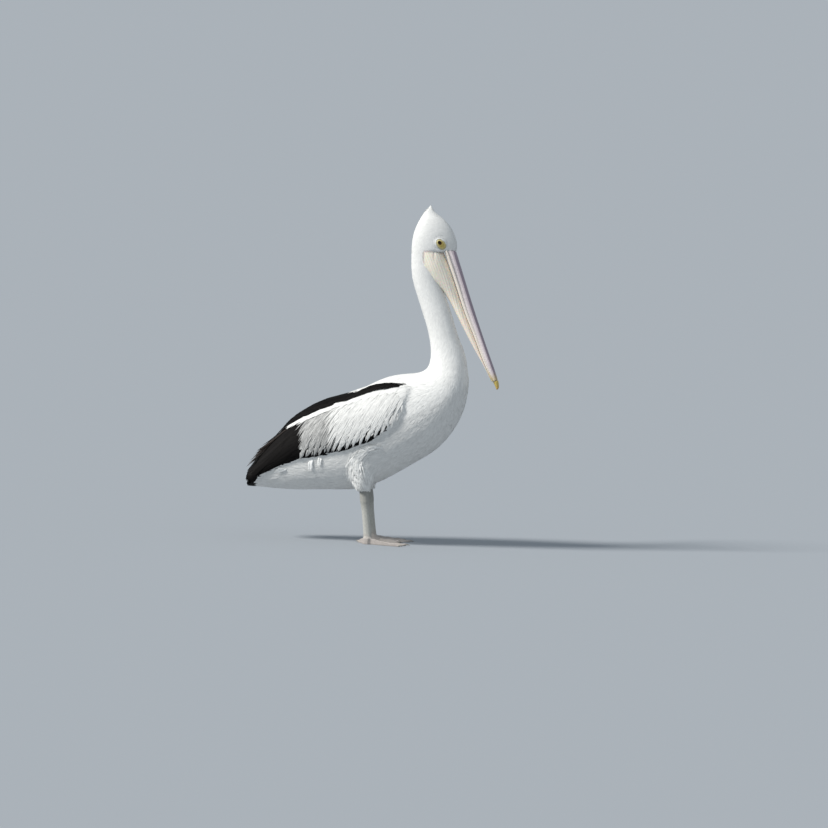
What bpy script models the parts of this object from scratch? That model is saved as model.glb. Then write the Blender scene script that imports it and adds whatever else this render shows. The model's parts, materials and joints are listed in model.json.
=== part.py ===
"""A life-size Australian pelican that stands still, as closed solids, one for each part of its body.

X runs forward, Y to the bird's left and Z up, in metres. The soles stand on Z = 0. The body is a sweep
along ribs from the throat to the tail, and the folded wings are layers that lie on that sweep.
"""

import math

import bmesh
import bpy
import numpy as np
from mathutils import Matrix, Vector

GAP = 0.0003  # between pieces that meet
HALF_CUT = 0.006  # half of the cut between two lengths of the body, in ribs
AROUND = 28  # corners round the trunk, the neck and the head
SIDES = {"right": -1, "left": 1}
SHARP = math.radians(50)  # edges that turn by more than this stay sharp

# Ribs of the body from the throat to the tail's end: the upper end (x, z) and the lower end (x, z) of
# each, its half width, and how far it narrows towards the upper end.
BODY_RIBS = (
    (0.077, 0.880, 0.156, 0.880, 0.031, 0.00),
    (0.083, 0.803, 0.168, 0.792, 0.030, 0.00),
    (0.110, 0.722, 0.197, 0.722, 0.032, 0.00),
    (0.136, 0.650, 0.228, 0.635, 0.036, 0.00),
    (0.149, 0.590, 0.251, 0.582, 0.043, 0.00),
    (0.148, 0.549, 0.263, 0.530, 0.057, 0.04),
    (0.137, 0.527, 0.268, 0.480, 0.074, 0.08),
    (0.112, 0.516, 0.257, 0.412, 0.091, 0.10),
    (0.075, 0.511, 0.229, 0.349, 0.102, 0.10),
    (0.022, 0.499, 0.181, 0.290, 0.109, 0.10),
    (-0.040, 0.468, 0.109, 0.241, 0.113, 0.10),
    (-0.100, 0.436, 0.031, 0.193, 0.112, 0.10),
    (-0.164, 0.413, -0.052, 0.160, 0.103, 0.12),
    (-0.234, 0.369, -0.150, 0.154, 0.086, 0.12),
    (-0.292, 0.311, -0.245, 0.149, 0.066, 0.10),
    (-0.342, 0.243, -0.325, 0.152, 0.052, 0.05),
    (-0.383, 0.175, -0.384, 0.156, 0.054, 0.00),
)
LAST_RIB = len(BODY_RIBS) - 1
SHOULDER_RIB = 4  # no part of the wing lies ahead of it
HALVINGS = 30  # in the search for the rib that passes through a place
NEAR_SPINE = 0.9995  # cosine of the least turn from the spine, and from the keel
# Lengths of the body, from rib to rib, and the steps that one rib's stretch is drawn in.
BODY_LENGTHS = {
    "neck_upper": (0.0, 2.0, 3.0),
    "neck_middle": (2.0, 3.5, 3.0),
    "neck_lower": (3.5, 5.3, 3.0),
    "trunk": (5.3, 14.4, 2.2),
    "tail": (14.4, 16.0, 3.0),
}

# Head: levels from its flat underside to the crown, as height, back x, front x and half width.
HEAD_FLOOR = 0.880
HEAD_LEVELS = (
    (0.880, 0.077, 0.213, 0.0330),
    (0.905, 0.078, 0.213, 0.0345),
    (0.930, 0.081, 0.206, 0.0340),
    (0.955, 0.089, 0.192, 0.0300),
    (0.975, 0.098, 0.174, 0.0230),
    (0.988, 0.105, 0.158, 0.0150),
)
HEAD_NARROWS = 0.16  # towards the bill
HEAD_RINGS = 10
CREST_LEVELS = (
    (0.988, 0.104, 0.158, 0.0150),
    (0.997, 0.110, 0.144, 0.0105),
    (1.007, 0.118, 0.136, 0.0065),
    (1.017, 0.127, 0.131, 0.0020),
)
CREST_RINGS = 6
CREST_CORNERS = 14
EYE_RADIUS = 0.0080
EYE_PLACE = Vector((0.161, 0.0262, 0.907))
EYE_CORNERS = 12
EYE_RINGS = 8

# Bill: where the ridge leaves the forehead, how steeply it points down, and tables of (along, size).
BILL_BASE = (0.2125, HEAD_FLOOR - GAP)
BILL_DROP = math.radians(70.4)
BILL_LENGTH = 0.400
BILL_RINGS = 13
BILL_CORNERS = 14
BILL_FADE = 0.100  # the bill's root is cut level with the head, and its ribs turn square by here
RIDGE_LIFT = ((0.0, 0.0), (0.20, 0.001), (0.30, 0.004), (0.40, 0.009))
UPPER_DEPTH = (
    (0.0, 0.0250),
    (0.08, 0.0220),
    (0.17, 0.0210),
    (0.26, 0.0150),
    (0.34, 0.0120),
    (0.40, 0.0070),
)
JAW_DEPTH = ((0.0, 0.0090), (0.20, 0.0080), (0.30, 0.0065), (0.40, 0.0040))
POUCH_EDGE = (
    (0.0, 0.121),
    (0.02, 0.127),
    (0.04, 0.126),
    (0.06, 0.111),
    (0.08, 0.089),
    (0.10, 0.071),
    (0.15, 0.059),
    (0.20, 0.050),
    (0.30, 0.031),
    (0.36, 0.0175),
    (0.40, 0.0125),
)
UPPER_WIDTH = (
    (0.0, 0.0245),
    (0.05, 0.0215),
    (0.15, 0.0170),
    (0.28, 0.0155),
    (0.36, 0.0175),
    (0.40, 0.0150),
)
JAW_WIDTH = (
    (0.0, 0.0300),
    (0.05, 0.0260),
    (0.15, 0.0185),
    (0.28, 0.0155),
    (0.36, 0.0150),
    (0.40, 0.0120),
)
POUCH_WIDTH = (
    (0.0, 0.0340),
    (0.035, 0.0360),
    (0.07, 0.0295),
    (0.12, 0.0170),
    (0.20, 0.0120),
    (0.30, 0.0090),
    (0.40, 0.0050),
)
POUCH_CORNERS = 18
POUCH_SHORT = 0.005  # it ends this far before the bill's tip
POUCH_LEAST = 0.002  # depth under the jaw where it is shallowest
NAIL_RINGS = 6
NAIL_LENGTH = 0.027
NAIL_HOOK = 0.011
NAIL_TIP = 0.0015  # half width and depth of the blunt point
NAIL_DEPTH_TAPER = 0.7
NAIL_WIDTH_TAPER = 0.6

# Folded wing, as seen from the side: its upper border and its lower border (x, z), front to tip.
WING_TOP = (
    (0.090, 0.470),
    (0.032, 0.461),
    (-0.086, 0.422),
    (-0.209, 0.374),
    (-0.290, 0.318),
    (-0.372, 0.200),
)
WING_LOW = (
    (0.061, 0.362),
    (-0.006, 0.313),
    (-0.110, 0.274),
    (-0.228, 0.240),
    (-0.300, 0.210),
    (-0.380, 0.168),
)
WING_COLUMNS = 20
WING_ROWS = 7
COVERT_COLUMNS = 12  # the white coverts reach this column, and the flight feathers start there
SCAPULAR_COLUMNS = 15
WING_LIFT = 0.0021  # the layer's flat faces stay clear of the round trunk
WING_PART = 0.02  # ribs between the coverts and the flight feathers
WING_EDGE = 0.0045
WING_DEPTH = 0.0150
WING_FRONT_SWELL = 0.08  # share of the depth's quarter wave that the leading edge starts at
WING_SWELL_RATE = 1.6  # how many times sooner than at the tips the depth is full
WING_THINS = 0.55  # share of the depth that is gone at the tips
WING_CROWN = 0.6  # under 1 makes the layer flat along its middle and steep at its borders
SCAPULAR_DEPTH = 0.0085
SCAPULAR_SHARES = (0.5, 1.0, 1.0, 0.6)  # of that depth, from the wing up to the spine
SCAPULAR_BORDER = 0.012  # turn left free beside the wing, and beside the spine
SCAPULAR_REACH = ((0.0, 0.06), (0.25, 0.30), (0.60, 0.93), (1.0, 0.95))  # share of the way to the spine

# Legs: half the stance, and levels as height, half depth and half width.
HALF_STANCE = 0.060
LEG_X = {"right": -0.013, "left": -0.001}
LEG_LEAN = 0.13  # backwards for each metre up
THIGH_CORNERS = 16
SHANK_CORNERS = 10
THIGH_LEVELS = (
    (0.300, 0.026, 0.010, 0.084),
    (0.270, 0.044, 0.022, 0.083),
    (0.225, 0.042, 0.029, 0.077),
    (0.185, 0.029, 0.025, 0.068),
    (0.160, 0.017, 0.015, 0.061),
    (0.146, 0.0130, 0.0110, 0.060),
)
SHANK_LEVELS = (
    (0.146, 0.0130, 0.0105, 0.060),
    (0.128, 0.0140, 0.0115, 0.060),
    (0.110, 0.0118, 0.0088, 0.060),
    (0.060, 0.0115, 0.0076, 0.060),
    (0.032, 0.0122, 0.0085, 0.060),
    (0.0203, 0.0125, 0.0095, 0.060),
)
# Foot: toes as the angle inwards from straight ahead, in degrees, and the length to the claw.
ANKLE_HEIGHT = 0.020
ANKLE_RADIUS = 0.0130
TOES = ((-27, 0.106), (-3, 0.116), (24, 0.090), (124, 0.054))
TOE_FLANK = 3  # degrees from a toe's middle to the corners beside it
WEB_ANGLES = (-21, -15, -9, 6, 11, 15, 36, 50, 68, 86, 100, 104)  # corners along the webs, in degrees
HEEL_ANGLES = (150, 190, 230, 270, 310)
FOOT_RINGS = (0.0, 0.12, 0.28, 0.46, 0.64, 0.82, 1.0)  # shares of the way from the ankle to the edge
HEEL_REACH = ANKLE_RADIUS * 1.15
FOOT_LEDGE = 0.002  # least width of the foot outside the ankle
WEB_SCALLOP = (0.11, 0.11, 0.34)
WEB_THICKNESS = 0.0028
TOE_HEIGHT = 0.0105
TOE_FALLS = 0.35  # share of its height that a toe loses by its tip
TOE_HALF_WIDTH = 0.0068
ANKLE_SPREAD = 0.022  # the ankle's slope dies out this far outside it
ANKLE_FLARE = 1.5
CLAW_LENGTH = 0.011
CLAW_RADIUS = 0.0030
CLAW_CORNERS = 6
CLAW_RINGS = (0.0, 0.35, 0.7, 1.0)
CLAW_TAPER = 0.85
CLAW_HEIGHT = 0.0042
CLAW_DIP = 0.0030

# Finishes, as red, green, blue and roughness.
WHITE_FEATHER = (0.86, 0.87, 0.86, 0.7)
BLACK_FEATHER = (0.022, 0.020, 0.020, 0.7)
BILL_PINK = (0.72, 0.60, 0.58, 0.45)
POUCH_CREAM = (0.83, 0.77, 0.68, 0.45)
NAIL_YELLOW = (0.70, 0.62, 0.28, 0.4)
LEG_GREY = (0.50, 0.49, 0.47, 0.6)
CLAW_GREY = (0.28, 0.27, 0.25, 0.5)
EYE_BROWN = (0.12, 0.07, 0.03, 0.15)


def smooth(table, at):
    """The size at a place, read from a smooth curve through the table's (place, size) pairs."""
    places = [row[0] for row in table]
    sizes = [row[1] for row in table]
    slopes = np.gradient(sizes, places)
    i = int(np.clip(np.searchsorted(places, at) - 1, 0, len(places) - 2))
    step = places[i + 1] - places[i]
    t = min(max((at - places[i]) / step, 0.0), 1.0)
    rise = sizes[i + 1] - sizes[i]
    bend_in = step * slopes[i] - rise
    bend_out = rise - step * slopes[i + 1]
    return sizes[i] + rise * t + t * (1 - t) * ((1 - t) * bend_in + t * bend_out)


def row_at(rows, at):
    """The row at a place along a list of rows, where whole numbers are the rows themselves."""
    return [smooth([(n, row[column]) for n, row in enumerate(rows)], at) for column in range(len(rows[0]))]


def body_point(rib, turn):
    """The place on the body's surface at a rib, turned from the spine (0) down the left side (pi)."""
    top_x, top_z, low_x, low_z, half_width, narrows = row_at(BODY_RIBS, rib)
    up = 0.5 + 0.5 * math.cos(turn)
    y = half_width * math.sin(turn) * (1 - narrows * math.cos(turn))
    return Vector((low_x + (top_x - low_x) * up, y, low_z + (top_z - low_z) * up))


def body_normal(rib, turn):
    """The direction straight out of the body's surface at a rib and a turn."""
    step = 0.01
    along = body_point(min(rib + step, LAST_RIB), turn) - body_point(rib - step, turn)
    round_it = body_point(rib, turn + step) - body_point(rib, turn - step)
    return round_it.cross(along).normalized()


def rib_through(x, z):
    """The rib and the turn at which the body's left side shows (x, z) when it is seen from the side."""
    first, last = SHOULDER_RIB, LAST_RIB
    for _ in range(HALVINGS):
        rib = (first + last) / 2
        top_x, top_z, low_x, low_z = row_at(BODY_RIBS, rib)[:4]
        ahead = (low_x - top_x) * (z - top_z) - (low_z - top_z) * (x - top_x)
        first, last = (rib, last) if ahead < 0 else (first, rib)
    down = ((x - top_x) * (low_x - top_x) + (z - top_z) * (low_z - top_z)) / (
        (low_x - top_x) ** 2 + (low_z - top_z) ** 2
    )
    return rib, math.acos(min(max(1 - 2 * down, -NEAR_SPINE), NEAR_SPINE))


def paint(piece, finish):
    """Gives a piece a material of its own."""
    red, green, blue, roughness = finish
    material = bpy.data.materials.new(piece.name)
    material.use_nodes = True
    shader = material.node_tree.nodes["Principled BSDF"]
    shader.inputs["Base Color"].default_value = (red, green, blue, 1.0)
    shader.inputs["Roughness"].default_value = roughness
    shader.inputs["Metallic"].default_value = 0.0
    piece.data.materials.append(material)


def piece_from(name, shape, finish):
    """The object that holds a bmesh, smooth-shaded, hung from the stance."""
    bmesh.ops.recalc_face_normals(shape, faces=shape.faces)
    mesh = bpy.data.meshes.new(name)
    shape.to_mesh(mesh)
    shape.free()
    mesh.shade_smooth()
    mesh.set_sharp_from_angle(angle=SHARP)
    piece = bpy.data.objects.new(name, mesh)
    bpy.context.scene.collection.objects.link(piece)
    piece.parent = stance
    paint(piece, finish)
    return piece


def loft(rings):
    """A closed bmesh over rings of as many points each, with a flat cap at each end."""
    shape = bmesh.new()
    loops = [[shape.verts.new(point) for point in ring] for ring in rings]
    for one, two in zip(loops, loops[1:]):
        for n in range(len(one)):
            m = (n + 1) % len(one)
            shape.faces.new((one[n], one[m], two[m], two[n]))
    shape.faces.new(reversed(loops[0]))
    shape.faces.new(loops[-1])
    return shape


def oval(back, front, half_width, narrows=0.0, corners=AROUND, middle=0.0):
    """A ring of points between two ends (x, z), which narrows towards the front."""
    ring = []
    for n in range(corners):
        turn = 2 * math.pi * n / corners
        share = 0.5 - 0.5 * math.cos(turn)
        y = middle + half_width * math.sin(turn) * (1 + narrows * math.cos(turn))
        ring.append((back[0] + (front[0] - back[0]) * share, y, back[1] + (front[1] - back[1]) * share))
    return ring


def body_length(name, first, last, steps, finish):
    """One length of the body, between two ribs."""
    count = max(2, round((last - first) * steps))
    places = np.linspace(first + HALF_CUT, last - HALF_CUT, count + 1)
    rings = [[body_point(rib, 2 * math.pi * n / AROUND) for n in range(AROUND)] for rib in places]
    return piece_from(name, loft(rings), finish)


def cut_away(piece, cutter):
    """Takes the cutter's space out of a piece, and keeps the cutter as a hidden guide."""
    cutter.hide_render = True
    cutter.display_type = "WIRE"
    cut = piece.modifiers.new("clear_of_" + cutter.name, "BOOLEAN")
    cut.operation = "DIFFERENCE"
    cut.solver = "EXACT"
    cut.object = cutter


def grown(name, piece, by):
    """A copy of a piece that stands out by a small gap all round, for use as a cutter."""
    shape = bmesh.new()
    shape.from_mesh(piece.data)
    shape.normal_update()
    for vert in shape.verts:
        vert.co += vert.normal * by
    return piece_from(name, shape, LEG_GREY)


def head():
    """The skull and its feathers above the bill, on a flat underside."""
    rings = []
    for level in np.linspace(0, len(HEAD_LEVELS) - 1, HEAD_RINGS):
        height, back, front, half_width = row_at(HEAD_LEVELS, level)
        rings.append(oval((back, height), (front, height), half_width, HEAD_NARROWS))
    skull = piece_from("head", loft(rings), WHITE_FEATHER)
    for side, hand in SIDES.items():
        socket = eyeball("socket_" + side, hand, EYE_RADIUS + GAP)
        cut_away(skull, socket)
    return skull


def crest():
    """The short tuft that stands on the crown."""
    rings = []
    for level in np.linspace(0, len(CREST_LEVELS) - 1, CREST_RINGS):
        height, back, front, half_width = row_at(CREST_LEVELS, level)
        height += GAP
        rings.append(oval((back, height), (front, height), half_width, corners=CREST_CORNERS))
    return piece_from("crest", loft(rings), WHITE_FEATHER)


def eyeball(name, hand, radius):
    """A ball at the place of one eye."""
    shape = bmesh.new()
    bmesh.ops.create_uvsphere(shape, u_segments=EYE_CORNERS, v_segments=EYE_RINGS, radius=radius)
    bmesh.ops.rotate(shape, verts=shape.verts, matrix=Matrix.Rotation(math.pi / 2, 3, "X"))
    ball = piece_from(name, shape, EYE_BROWN)
    ball.location = (EYE_PLACE.x, EYE_PLACE.y * hand, EYE_PLACE.z)
    return ball


def bill_point(along, depth):
    """The (x, z) of a place down the bill, at a depth under its ridge."""
    level_root = depth / math.tan(BILL_DROP) * max(0.0, 1 - along / BILL_FADE)
    down = along - level_root
    x = BILL_BASE[0] + down * math.cos(BILL_DROP) - depth * math.sin(BILL_DROP)
    z = BILL_BASE[1] - down * math.sin(BILL_DROP) - depth * math.cos(BILL_DROP)
    return x, z


def bill_piece(name, near, far, width, reach, finish, corners=BILL_CORNERS):
    """A length of bill between two depths, each a function of the distance down it."""
    rings = []
    for along in np.linspace(0, reach, BILL_RINGS):
        ends = bill_point(along, far(along)), bill_point(along, near(along))
        rings.append(oval(*ends, smooth(width, along), corners=corners))
    return piece_from(name, loft(rings), finish)


def ridge(along):
    """Depth of the bill's upper edge, which rises towards the nail."""
    return -smooth(RIDGE_LIFT, along)


def gape(along):
    """Depth of the line at which the two halves of the bill close."""
    return smooth(UPPER_DEPTH, along)


def jaw_edge(along):
    """Depth at which the hard rim of the jaw ends and the pouch begins."""
    return gape(along) + smooth(JAW_DEPTH, along)


def pouch_edge(along):
    """Depth of the pouch's free edge."""
    return max(smooth(POUCH_EDGE, along), jaw_edge(along) + POUCH_LEAST)


def bill():
    """The upper half, the lower jaw, the pouch under it and the hooked nail at the tip."""
    bill_piece("bill_upper", ridge, gape, UPPER_WIDTH, BILL_LENGTH, BILL_PINK)
    bill_piece("bill_lower", lambda a: gape(a) + GAP, jaw_edge, JAW_WIDTH, BILL_LENGTH, BILL_PINK)
    reach = BILL_LENGTH - POUCH_SHORT
    pouch = bill_piece(
        "pouch", lambda a: jaw_edge(a) + GAP, pouch_edge, POUCH_WIDTH, reach, POUCH_CREAM, POUCH_CORNERS
    )
    cut_away(pouch, grown("throat_space", bpy.data.objects["neck_upper"], GAP))
    rings = []
    for share in np.linspace(0, 1, NAIL_RINGS):
        along = BILL_LENGTH + GAP + NAIL_LENGTH * math.sin(share * math.pi / 2)
        top = ridge(BILL_LENGTH) + NAIL_HOOK * share**2
        depth = gape(BILL_LENGTH) - ridge(BILL_LENGTH)
        low = top + depth * (1 - share) ** NAIL_DEPTH_TAPER + NAIL_TIP
        root_width = smooth(UPPER_WIDTH, BILL_LENGTH)
        half_width = NAIL_TIP + (root_width - NAIL_TIP) * (1 - share) ** NAIL_WIDTH_TAPER
        ends = bill_point(along, low), bill_point(along, top)
        rings.append(oval(*ends, half_width, corners=BILL_CORNERS))
    piece_from("bill_nail", loft(rings), NAIL_YELLOW)


def wing_grid():
    """The folded wing's columns of (rib, turn) places, from its leading edge to its tips."""
    columns = []
    for place in np.linspace(0, len(WING_TOP) - 1, WING_COLUMNS + 1):
        top = row_at(WING_TOP, place)
        low = row_at(WING_LOW, place)
        sides = []
        for down in np.linspace(0, 1, WING_ROWS + 1):
            x = top[0] + (low[0] - top[0]) * down
            z = top[1] + (low[1] - top[1]) * down
            sides.append(rib_through(x, z))
        columns.append(sides)
    return columns


def layer(name, places, depths, hand, finish):
    """A closed layer over a grid of (rib, turn) places on the body, as deep as the grid of depths says."""
    shape = bmesh.new()
    sheets = []
    for outer in (0, 1):
        sheet = []
        for column, column_depths in zip(places, depths):
            line = []
            for (rib, turn), depth in zip(column, column_depths):
                point = body_point(rib, turn) + body_normal(rib, turn) * (WING_LIFT + depth * outer)
                line.append(shape.verts.new((point.x, point.y * hand, point.z)))
            sheet.append(line)
        sheets.append(sheet)
    columns, rows = len(places), len(places[0])
    for sheet in sheets:
        for c in range(columns - 1):
            for r in range(rows - 1):
                shape.faces.new((sheet[c][r], sheet[c + 1][r], sheet[c + 1][r + 1], sheet[c][r + 1]))
    edge = [(c, 0) for c in range(columns)] + [(columns - 1, r) for r in range(1, rows)]
    edge += [(c, rows - 1) for c in range(columns - 2, -1, -1)] + [(0, r) for r in range(rows - 2, 0, -1)]
    for (c, r), (d, s) in zip(edge, edge[1:] + edge[:1]):
        shape.faces.new((sheets[0][c][r], sheets[0][d][s], sheets[1][d][s], sheets[1][c][r]))
    return piece_from(name, shape, finish)


def wing_depth(column, row):
    """Depth of the folded wing's plumage: full along its middle, thin at its borders and its tips."""
    along = column / WING_COLUMNS
    down = row / WING_ROWS
    rise = math.sin(math.pi * min(1.0, WING_FRONT_SWELL + along * WING_SWELL_RATE) / 2)
    swell = rise * (1 - WING_THINS * along**2)
    return WING_EDGE + WING_DEPTH * swell * (4 * down * (1 - down)) ** WING_CROWN


def wings():
    """Each folded wing: white coverts, the black flight feathers behind them and black scapulars above."""
    grid = wing_grid()
    depths = [[wing_depth(c, r) for r in range(WING_ROWS + 1)] for c in range(WING_COLUMNS + 1)]
    ridge_places = []
    for n, column in enumerate(grid[: SCAPULAR_COLUMNS + 1]):
        rib, turn = column[0]
        reach = smooth(SCAPULAR_REACH, n / SCAPULAR_COLUMNS)
        start = turn - SCAPULAR_BORDER
        width = (start - SCAPULAR_BORDER) * reach
        steps = np.linspace(0, 1, len(SCAPULAR_SHARES))
        ridge_places.append([(rib, start - width * share) for share in steps])
    ridge_depths = [[SCAPULAR_DEPTH * share for share in SCAPULAR_SHARES]] * len(ridge_places)
    behind = [[(rib + WING_PART, turn) for rib, turn in grid[COVERT_COLUMNS]]]
    behind += grid[COVERT_COLUMNS + 1 :]
    for side, hand in SIDES.items():
        coverts = grid[: COVERT_COLUMNS + 1]
        layer("wing_" + side, coverts, depths, hand, WHITE_FEATHER)
        layer("flight_feathers_" + side, behind, depths[COVERT_COLUMNS:], hand, BLACK_FEATHER)
        layer("scapulars_" + side, ridge_places, ridge_depths, hand, BLACK_FEATHER)


def leg_levels(levels, side, corners):
    """Rings up one leg, from its rows of levels."""
    rings = []
    for level in np.linspace(0, len(levels) - 1, 2 * len(levels) - 2):
        height, half_depth, half_width, out = row_at(levels, level)
        x = LEG_X[side] - LEG_LEAN * (height - ANKLE_HEIGHT)
        ends = (x - half_depth, height), (x + half_depth, height)
        rings.append(oval(*ends, half_width, corners=corners, middle=out * SIDES[side]))
    return rings


def legs():
    """Each leg: the feathered thigh, the bare shank, the webbed foot and its four claws."""
    belly = grown("belly_space", bpy.data.objects["trunk"], 2 * GAP)
    for side in SIDES:
        rings = leg_levels(THIGH_LEVELS, side, THIGH_CORNERS)
        thigh = piece_from("thigh_" + side, loft(rings), WHITE_FEATHER)
        cut_away(thigh, belly)
        rings = leg_levels(SHANK_LEVELS, side, SHANK_CORNERS)
        rings[0] = [(x, y, z - GAP) for x, y, z in rings[0]]
        piece_from("shank_" + side, loft(rings), LEG_GREY)
        foot(side)


def foot_reach(angle):
    """How far the foot reaches at an angle in degrees: to a toe's tip, the web's edge or the heel."""
    for (one, length), (two, next_length), scallop in zip(TOES, TOES[1:], WEB_SCALLOP):
        if one <= angle <= two:
            share = (angle - one) / (two - one)
            return (length + (next_length - length) * share) * (1 - scallop * math.sin(math.pi * share))
    return HEEL_REACH


def foot_height(angle, out):
    """Height of the foot's upper side: the web, the ridges of the toes, and the ankle that they meet at."""
    height = WEB_THICKNESS
    for toe, length in TOES:
        off = out * math.radians(abs(angle - toe))
        ridge_height = TOE_HEIGHT * (1 - TOE_FALLS * out / length)
        height = max(height, ridge_height * math.exp(-((off / TOE_HALF_WIDTH) ** 2)))
    fall = max(0.0, 1 - (out - ANKLE_RADIUS) / ANKLE_SPREAD)
    return max(height, ANKLE_HEIGHT * fall**ANKLE_FLARE if out > ANKLE_RADIUS else ANKLE_HEIGHT)


def foot(side):
    """The webbed foot as rings round the ankle, on a flat sole, and a claw at the tip of each toe."""
    hand = SIDES[side]
    ankle = Vector((LEG_X[side], HALF_STANCE * hand, 0))
    angles = []
    for toe, _ in TOES:
        angles += [toe - TOE_FLANK, toe, toe + TOE_FLANK]
    angles = sorted([*angles[1:-1], *WEB_ANGLES, *HEEL_ANGLES])
    shape = bmesh.new()

    def corner(angle, out, height):
        heading = math.radians(angle) * -hand
        return shape.verts.new(ankle + Vector((out * math.cos(heading), out * math.sin(heading), height)))

    rings = []
    for share in FOOT_RINGS:
        ring = []
        for angle in angles:
            out = ANKLE_RADIUS + max(foot_reach(angle) - ANKLE_RADIUS, FOOT_LEDGE) * share
            ring.append(corner(angle, out, foot_height(angle, out) if share else ANKLE_HEIGHT))
        rings.append(ring)
    rings.append([shape.verts.new((v.co.x, v.co.y, 0)) for v in rings[-1]])
    count = len(angles)
    for one, two in zip(rings, rings[1:]):
        for n in range(count):
            shape.faces.new((one[n], one[(n + 1) % count], two[(n + 1) % count], two[n]))
    crown = shape.verts.new(ankle + Vector((0, 0, ANKLE_HEIGHT)))
    sole = shape.verts.new(ankle)
    for n in range(count):
        shape.faces.new((crown, rings[0][n], rings[0][(n + 1) % count]))
        shape.faces.new((sole, rings[-1][(n + 1) % count], rings[-1][n]))
    piece_from("foot_" + side, shape, LEG_GREY)
    for number, (angle, length) in enumerate(TOES, 1):
        claw(f"claw_{side}_{number}", ankle, math.radians(angle) * -hand, length)


def claw(name, ankle, heading, length):
    """A short curved claw that runs on from a toe and dips towards the floor."""
    rings = []
    for share in CLAW_RINGS:
        radius = CLAW_RADIUS * (1 - CLAW_TAPER * share)
        out = length + GAP + CLAW_LENGTH * share
        height = CLAW_HEIGHT - CLAW_DIP * share**2
        across = Vector((-math.sin(heading), math.cos(heading), 0))
        middle = ankle + Vector((out * math.cos(heading), out * math.sin(heading), height))
        up = Vector((0, 0, 1))
        turns = [2 * math.pi * n / CLAW_CORNERS for n in range(CLAW_CORNERS)]
        rings.append([middle + radius * (math.cos(a) * across + math.sin(a) * up) for a in turns])
    piece_from(name, loft(rings), CLAW_GREY)


def centre_on_origin():
    """Moves the stance so that the middle of the whole bird's length is over the origin."""
    bpy.context.view_layer.update()
    reach = []
    for piece in stance.children:
        if not piece.hide_render:
            reach += [(piece.matrix_world @ Vector(corner)).x for corner in piece.bound_box]
    stance.location.x = -(min(reach) + max(reach)) / 2


for old in list(bpy.data.objects):
    bpy.data.objects.remove(old, do_unlink=True)
stance = bpy.data.objects.new("stance", None)
bpy.context.scene.collection.objects.link(stance)
for length_name, (first_rib, last_rib, rib_steps) in BODY_LENGTHS.items():
    plumage = BLACK_FEATHER if length_name == "tail" else WHITE_FEATHER
    body_length(length_name, first_rib, last_rib, rib_steps, plumage)
head()
crest()
for eye_side, eye_hand in SIDES.items():
    eyeball("eye_" + eye_side, eye_hand, EYE_RADIUS)
bill()
wings()
legs()
centre_on_origin()
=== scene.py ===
"""A life-size Australian pelican that stands still, as a museum shows one."""

import json
import math

import bmesh
import bpy
import numpy as np
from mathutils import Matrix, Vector
from mathutils.bvhtree import BVHTree
from mathutils.kdtree import KDTree

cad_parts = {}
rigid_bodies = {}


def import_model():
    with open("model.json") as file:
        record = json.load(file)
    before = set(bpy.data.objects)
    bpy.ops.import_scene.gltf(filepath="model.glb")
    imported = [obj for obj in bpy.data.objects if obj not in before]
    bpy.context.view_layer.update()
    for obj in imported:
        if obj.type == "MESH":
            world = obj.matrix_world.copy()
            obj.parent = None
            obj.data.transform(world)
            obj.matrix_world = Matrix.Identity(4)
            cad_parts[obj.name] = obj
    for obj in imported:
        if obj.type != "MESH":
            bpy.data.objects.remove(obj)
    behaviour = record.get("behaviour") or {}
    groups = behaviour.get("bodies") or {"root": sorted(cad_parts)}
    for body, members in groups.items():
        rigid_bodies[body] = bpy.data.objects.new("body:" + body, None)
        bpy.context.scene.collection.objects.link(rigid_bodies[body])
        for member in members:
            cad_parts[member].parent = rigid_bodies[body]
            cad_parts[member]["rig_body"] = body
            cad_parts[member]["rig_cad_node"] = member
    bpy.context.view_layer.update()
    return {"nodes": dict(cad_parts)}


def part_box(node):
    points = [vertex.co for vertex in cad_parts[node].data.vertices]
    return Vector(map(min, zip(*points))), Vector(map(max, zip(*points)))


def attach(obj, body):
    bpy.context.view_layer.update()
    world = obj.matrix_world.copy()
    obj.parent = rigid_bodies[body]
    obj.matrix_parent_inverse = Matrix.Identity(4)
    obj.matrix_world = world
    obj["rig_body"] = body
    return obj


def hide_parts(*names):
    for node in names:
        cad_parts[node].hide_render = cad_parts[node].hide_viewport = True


for old in list(bpy.data.objects):
    bpy.data.objects.remove(old, do_unlink=True)
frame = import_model()
SIDES = {"right": -1, "left": 1}


# ---- The setting -------------------------------------------------------------------------------
# A pale floor and an even pale room round the bird, one broad soft lamp high behind its right
# shoulder and the room's own light as the fill. None of it is part of the bird.


def principled(name, roughness, **sockets):
    """A material, its node tree and its shader, with constants set on the shader's own sockets."""
    material = bpy.data.materials.new(name)
    material.use_nodes = True
    shader = material.node_tree.nodes["Principled BSDF"]
    shader.inputs["Roughness"].default_value = roughness
    for socket, value in sockets.items():
        shader.inputs[socket.replace("_", " ")].default_value = value
    return material, material.node_tree, shader


def deselect():
    if bpy.context.object and bpy.context.object.mode != "OBJECT":
        bpy.ops.object.mode_set(mode="OBJECT")
    bpy.ops.object.select_all(action="DESELECT")


# The lamp's strength is the light it gives a face square to it. The floor's grey is what makes the lit
# floor as bright as the room behind it, so that no horizon shows.
ROOM_LIGHT = (0.405, 0.445, 0.485)
LAMP_LIGHT = (3.60, 3.50, 3.35)
LAMP_PLACE = Vector((-0.78, -0.38, 0.68)).normalized()
LAMP_SPREAD = math.radians(16)
FLOOR_REACH = 60.0

room = bpy.data.worlds.new("room")
room.use_nodes = True
room.node_tree.nodes["Background"].inputs["Color"].default_value = (*ROOM_LIGHT, 1.0)
bpy.context.scene.world = room
bpy.context.scene.view_settings.view_transform = "Standard"

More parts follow.
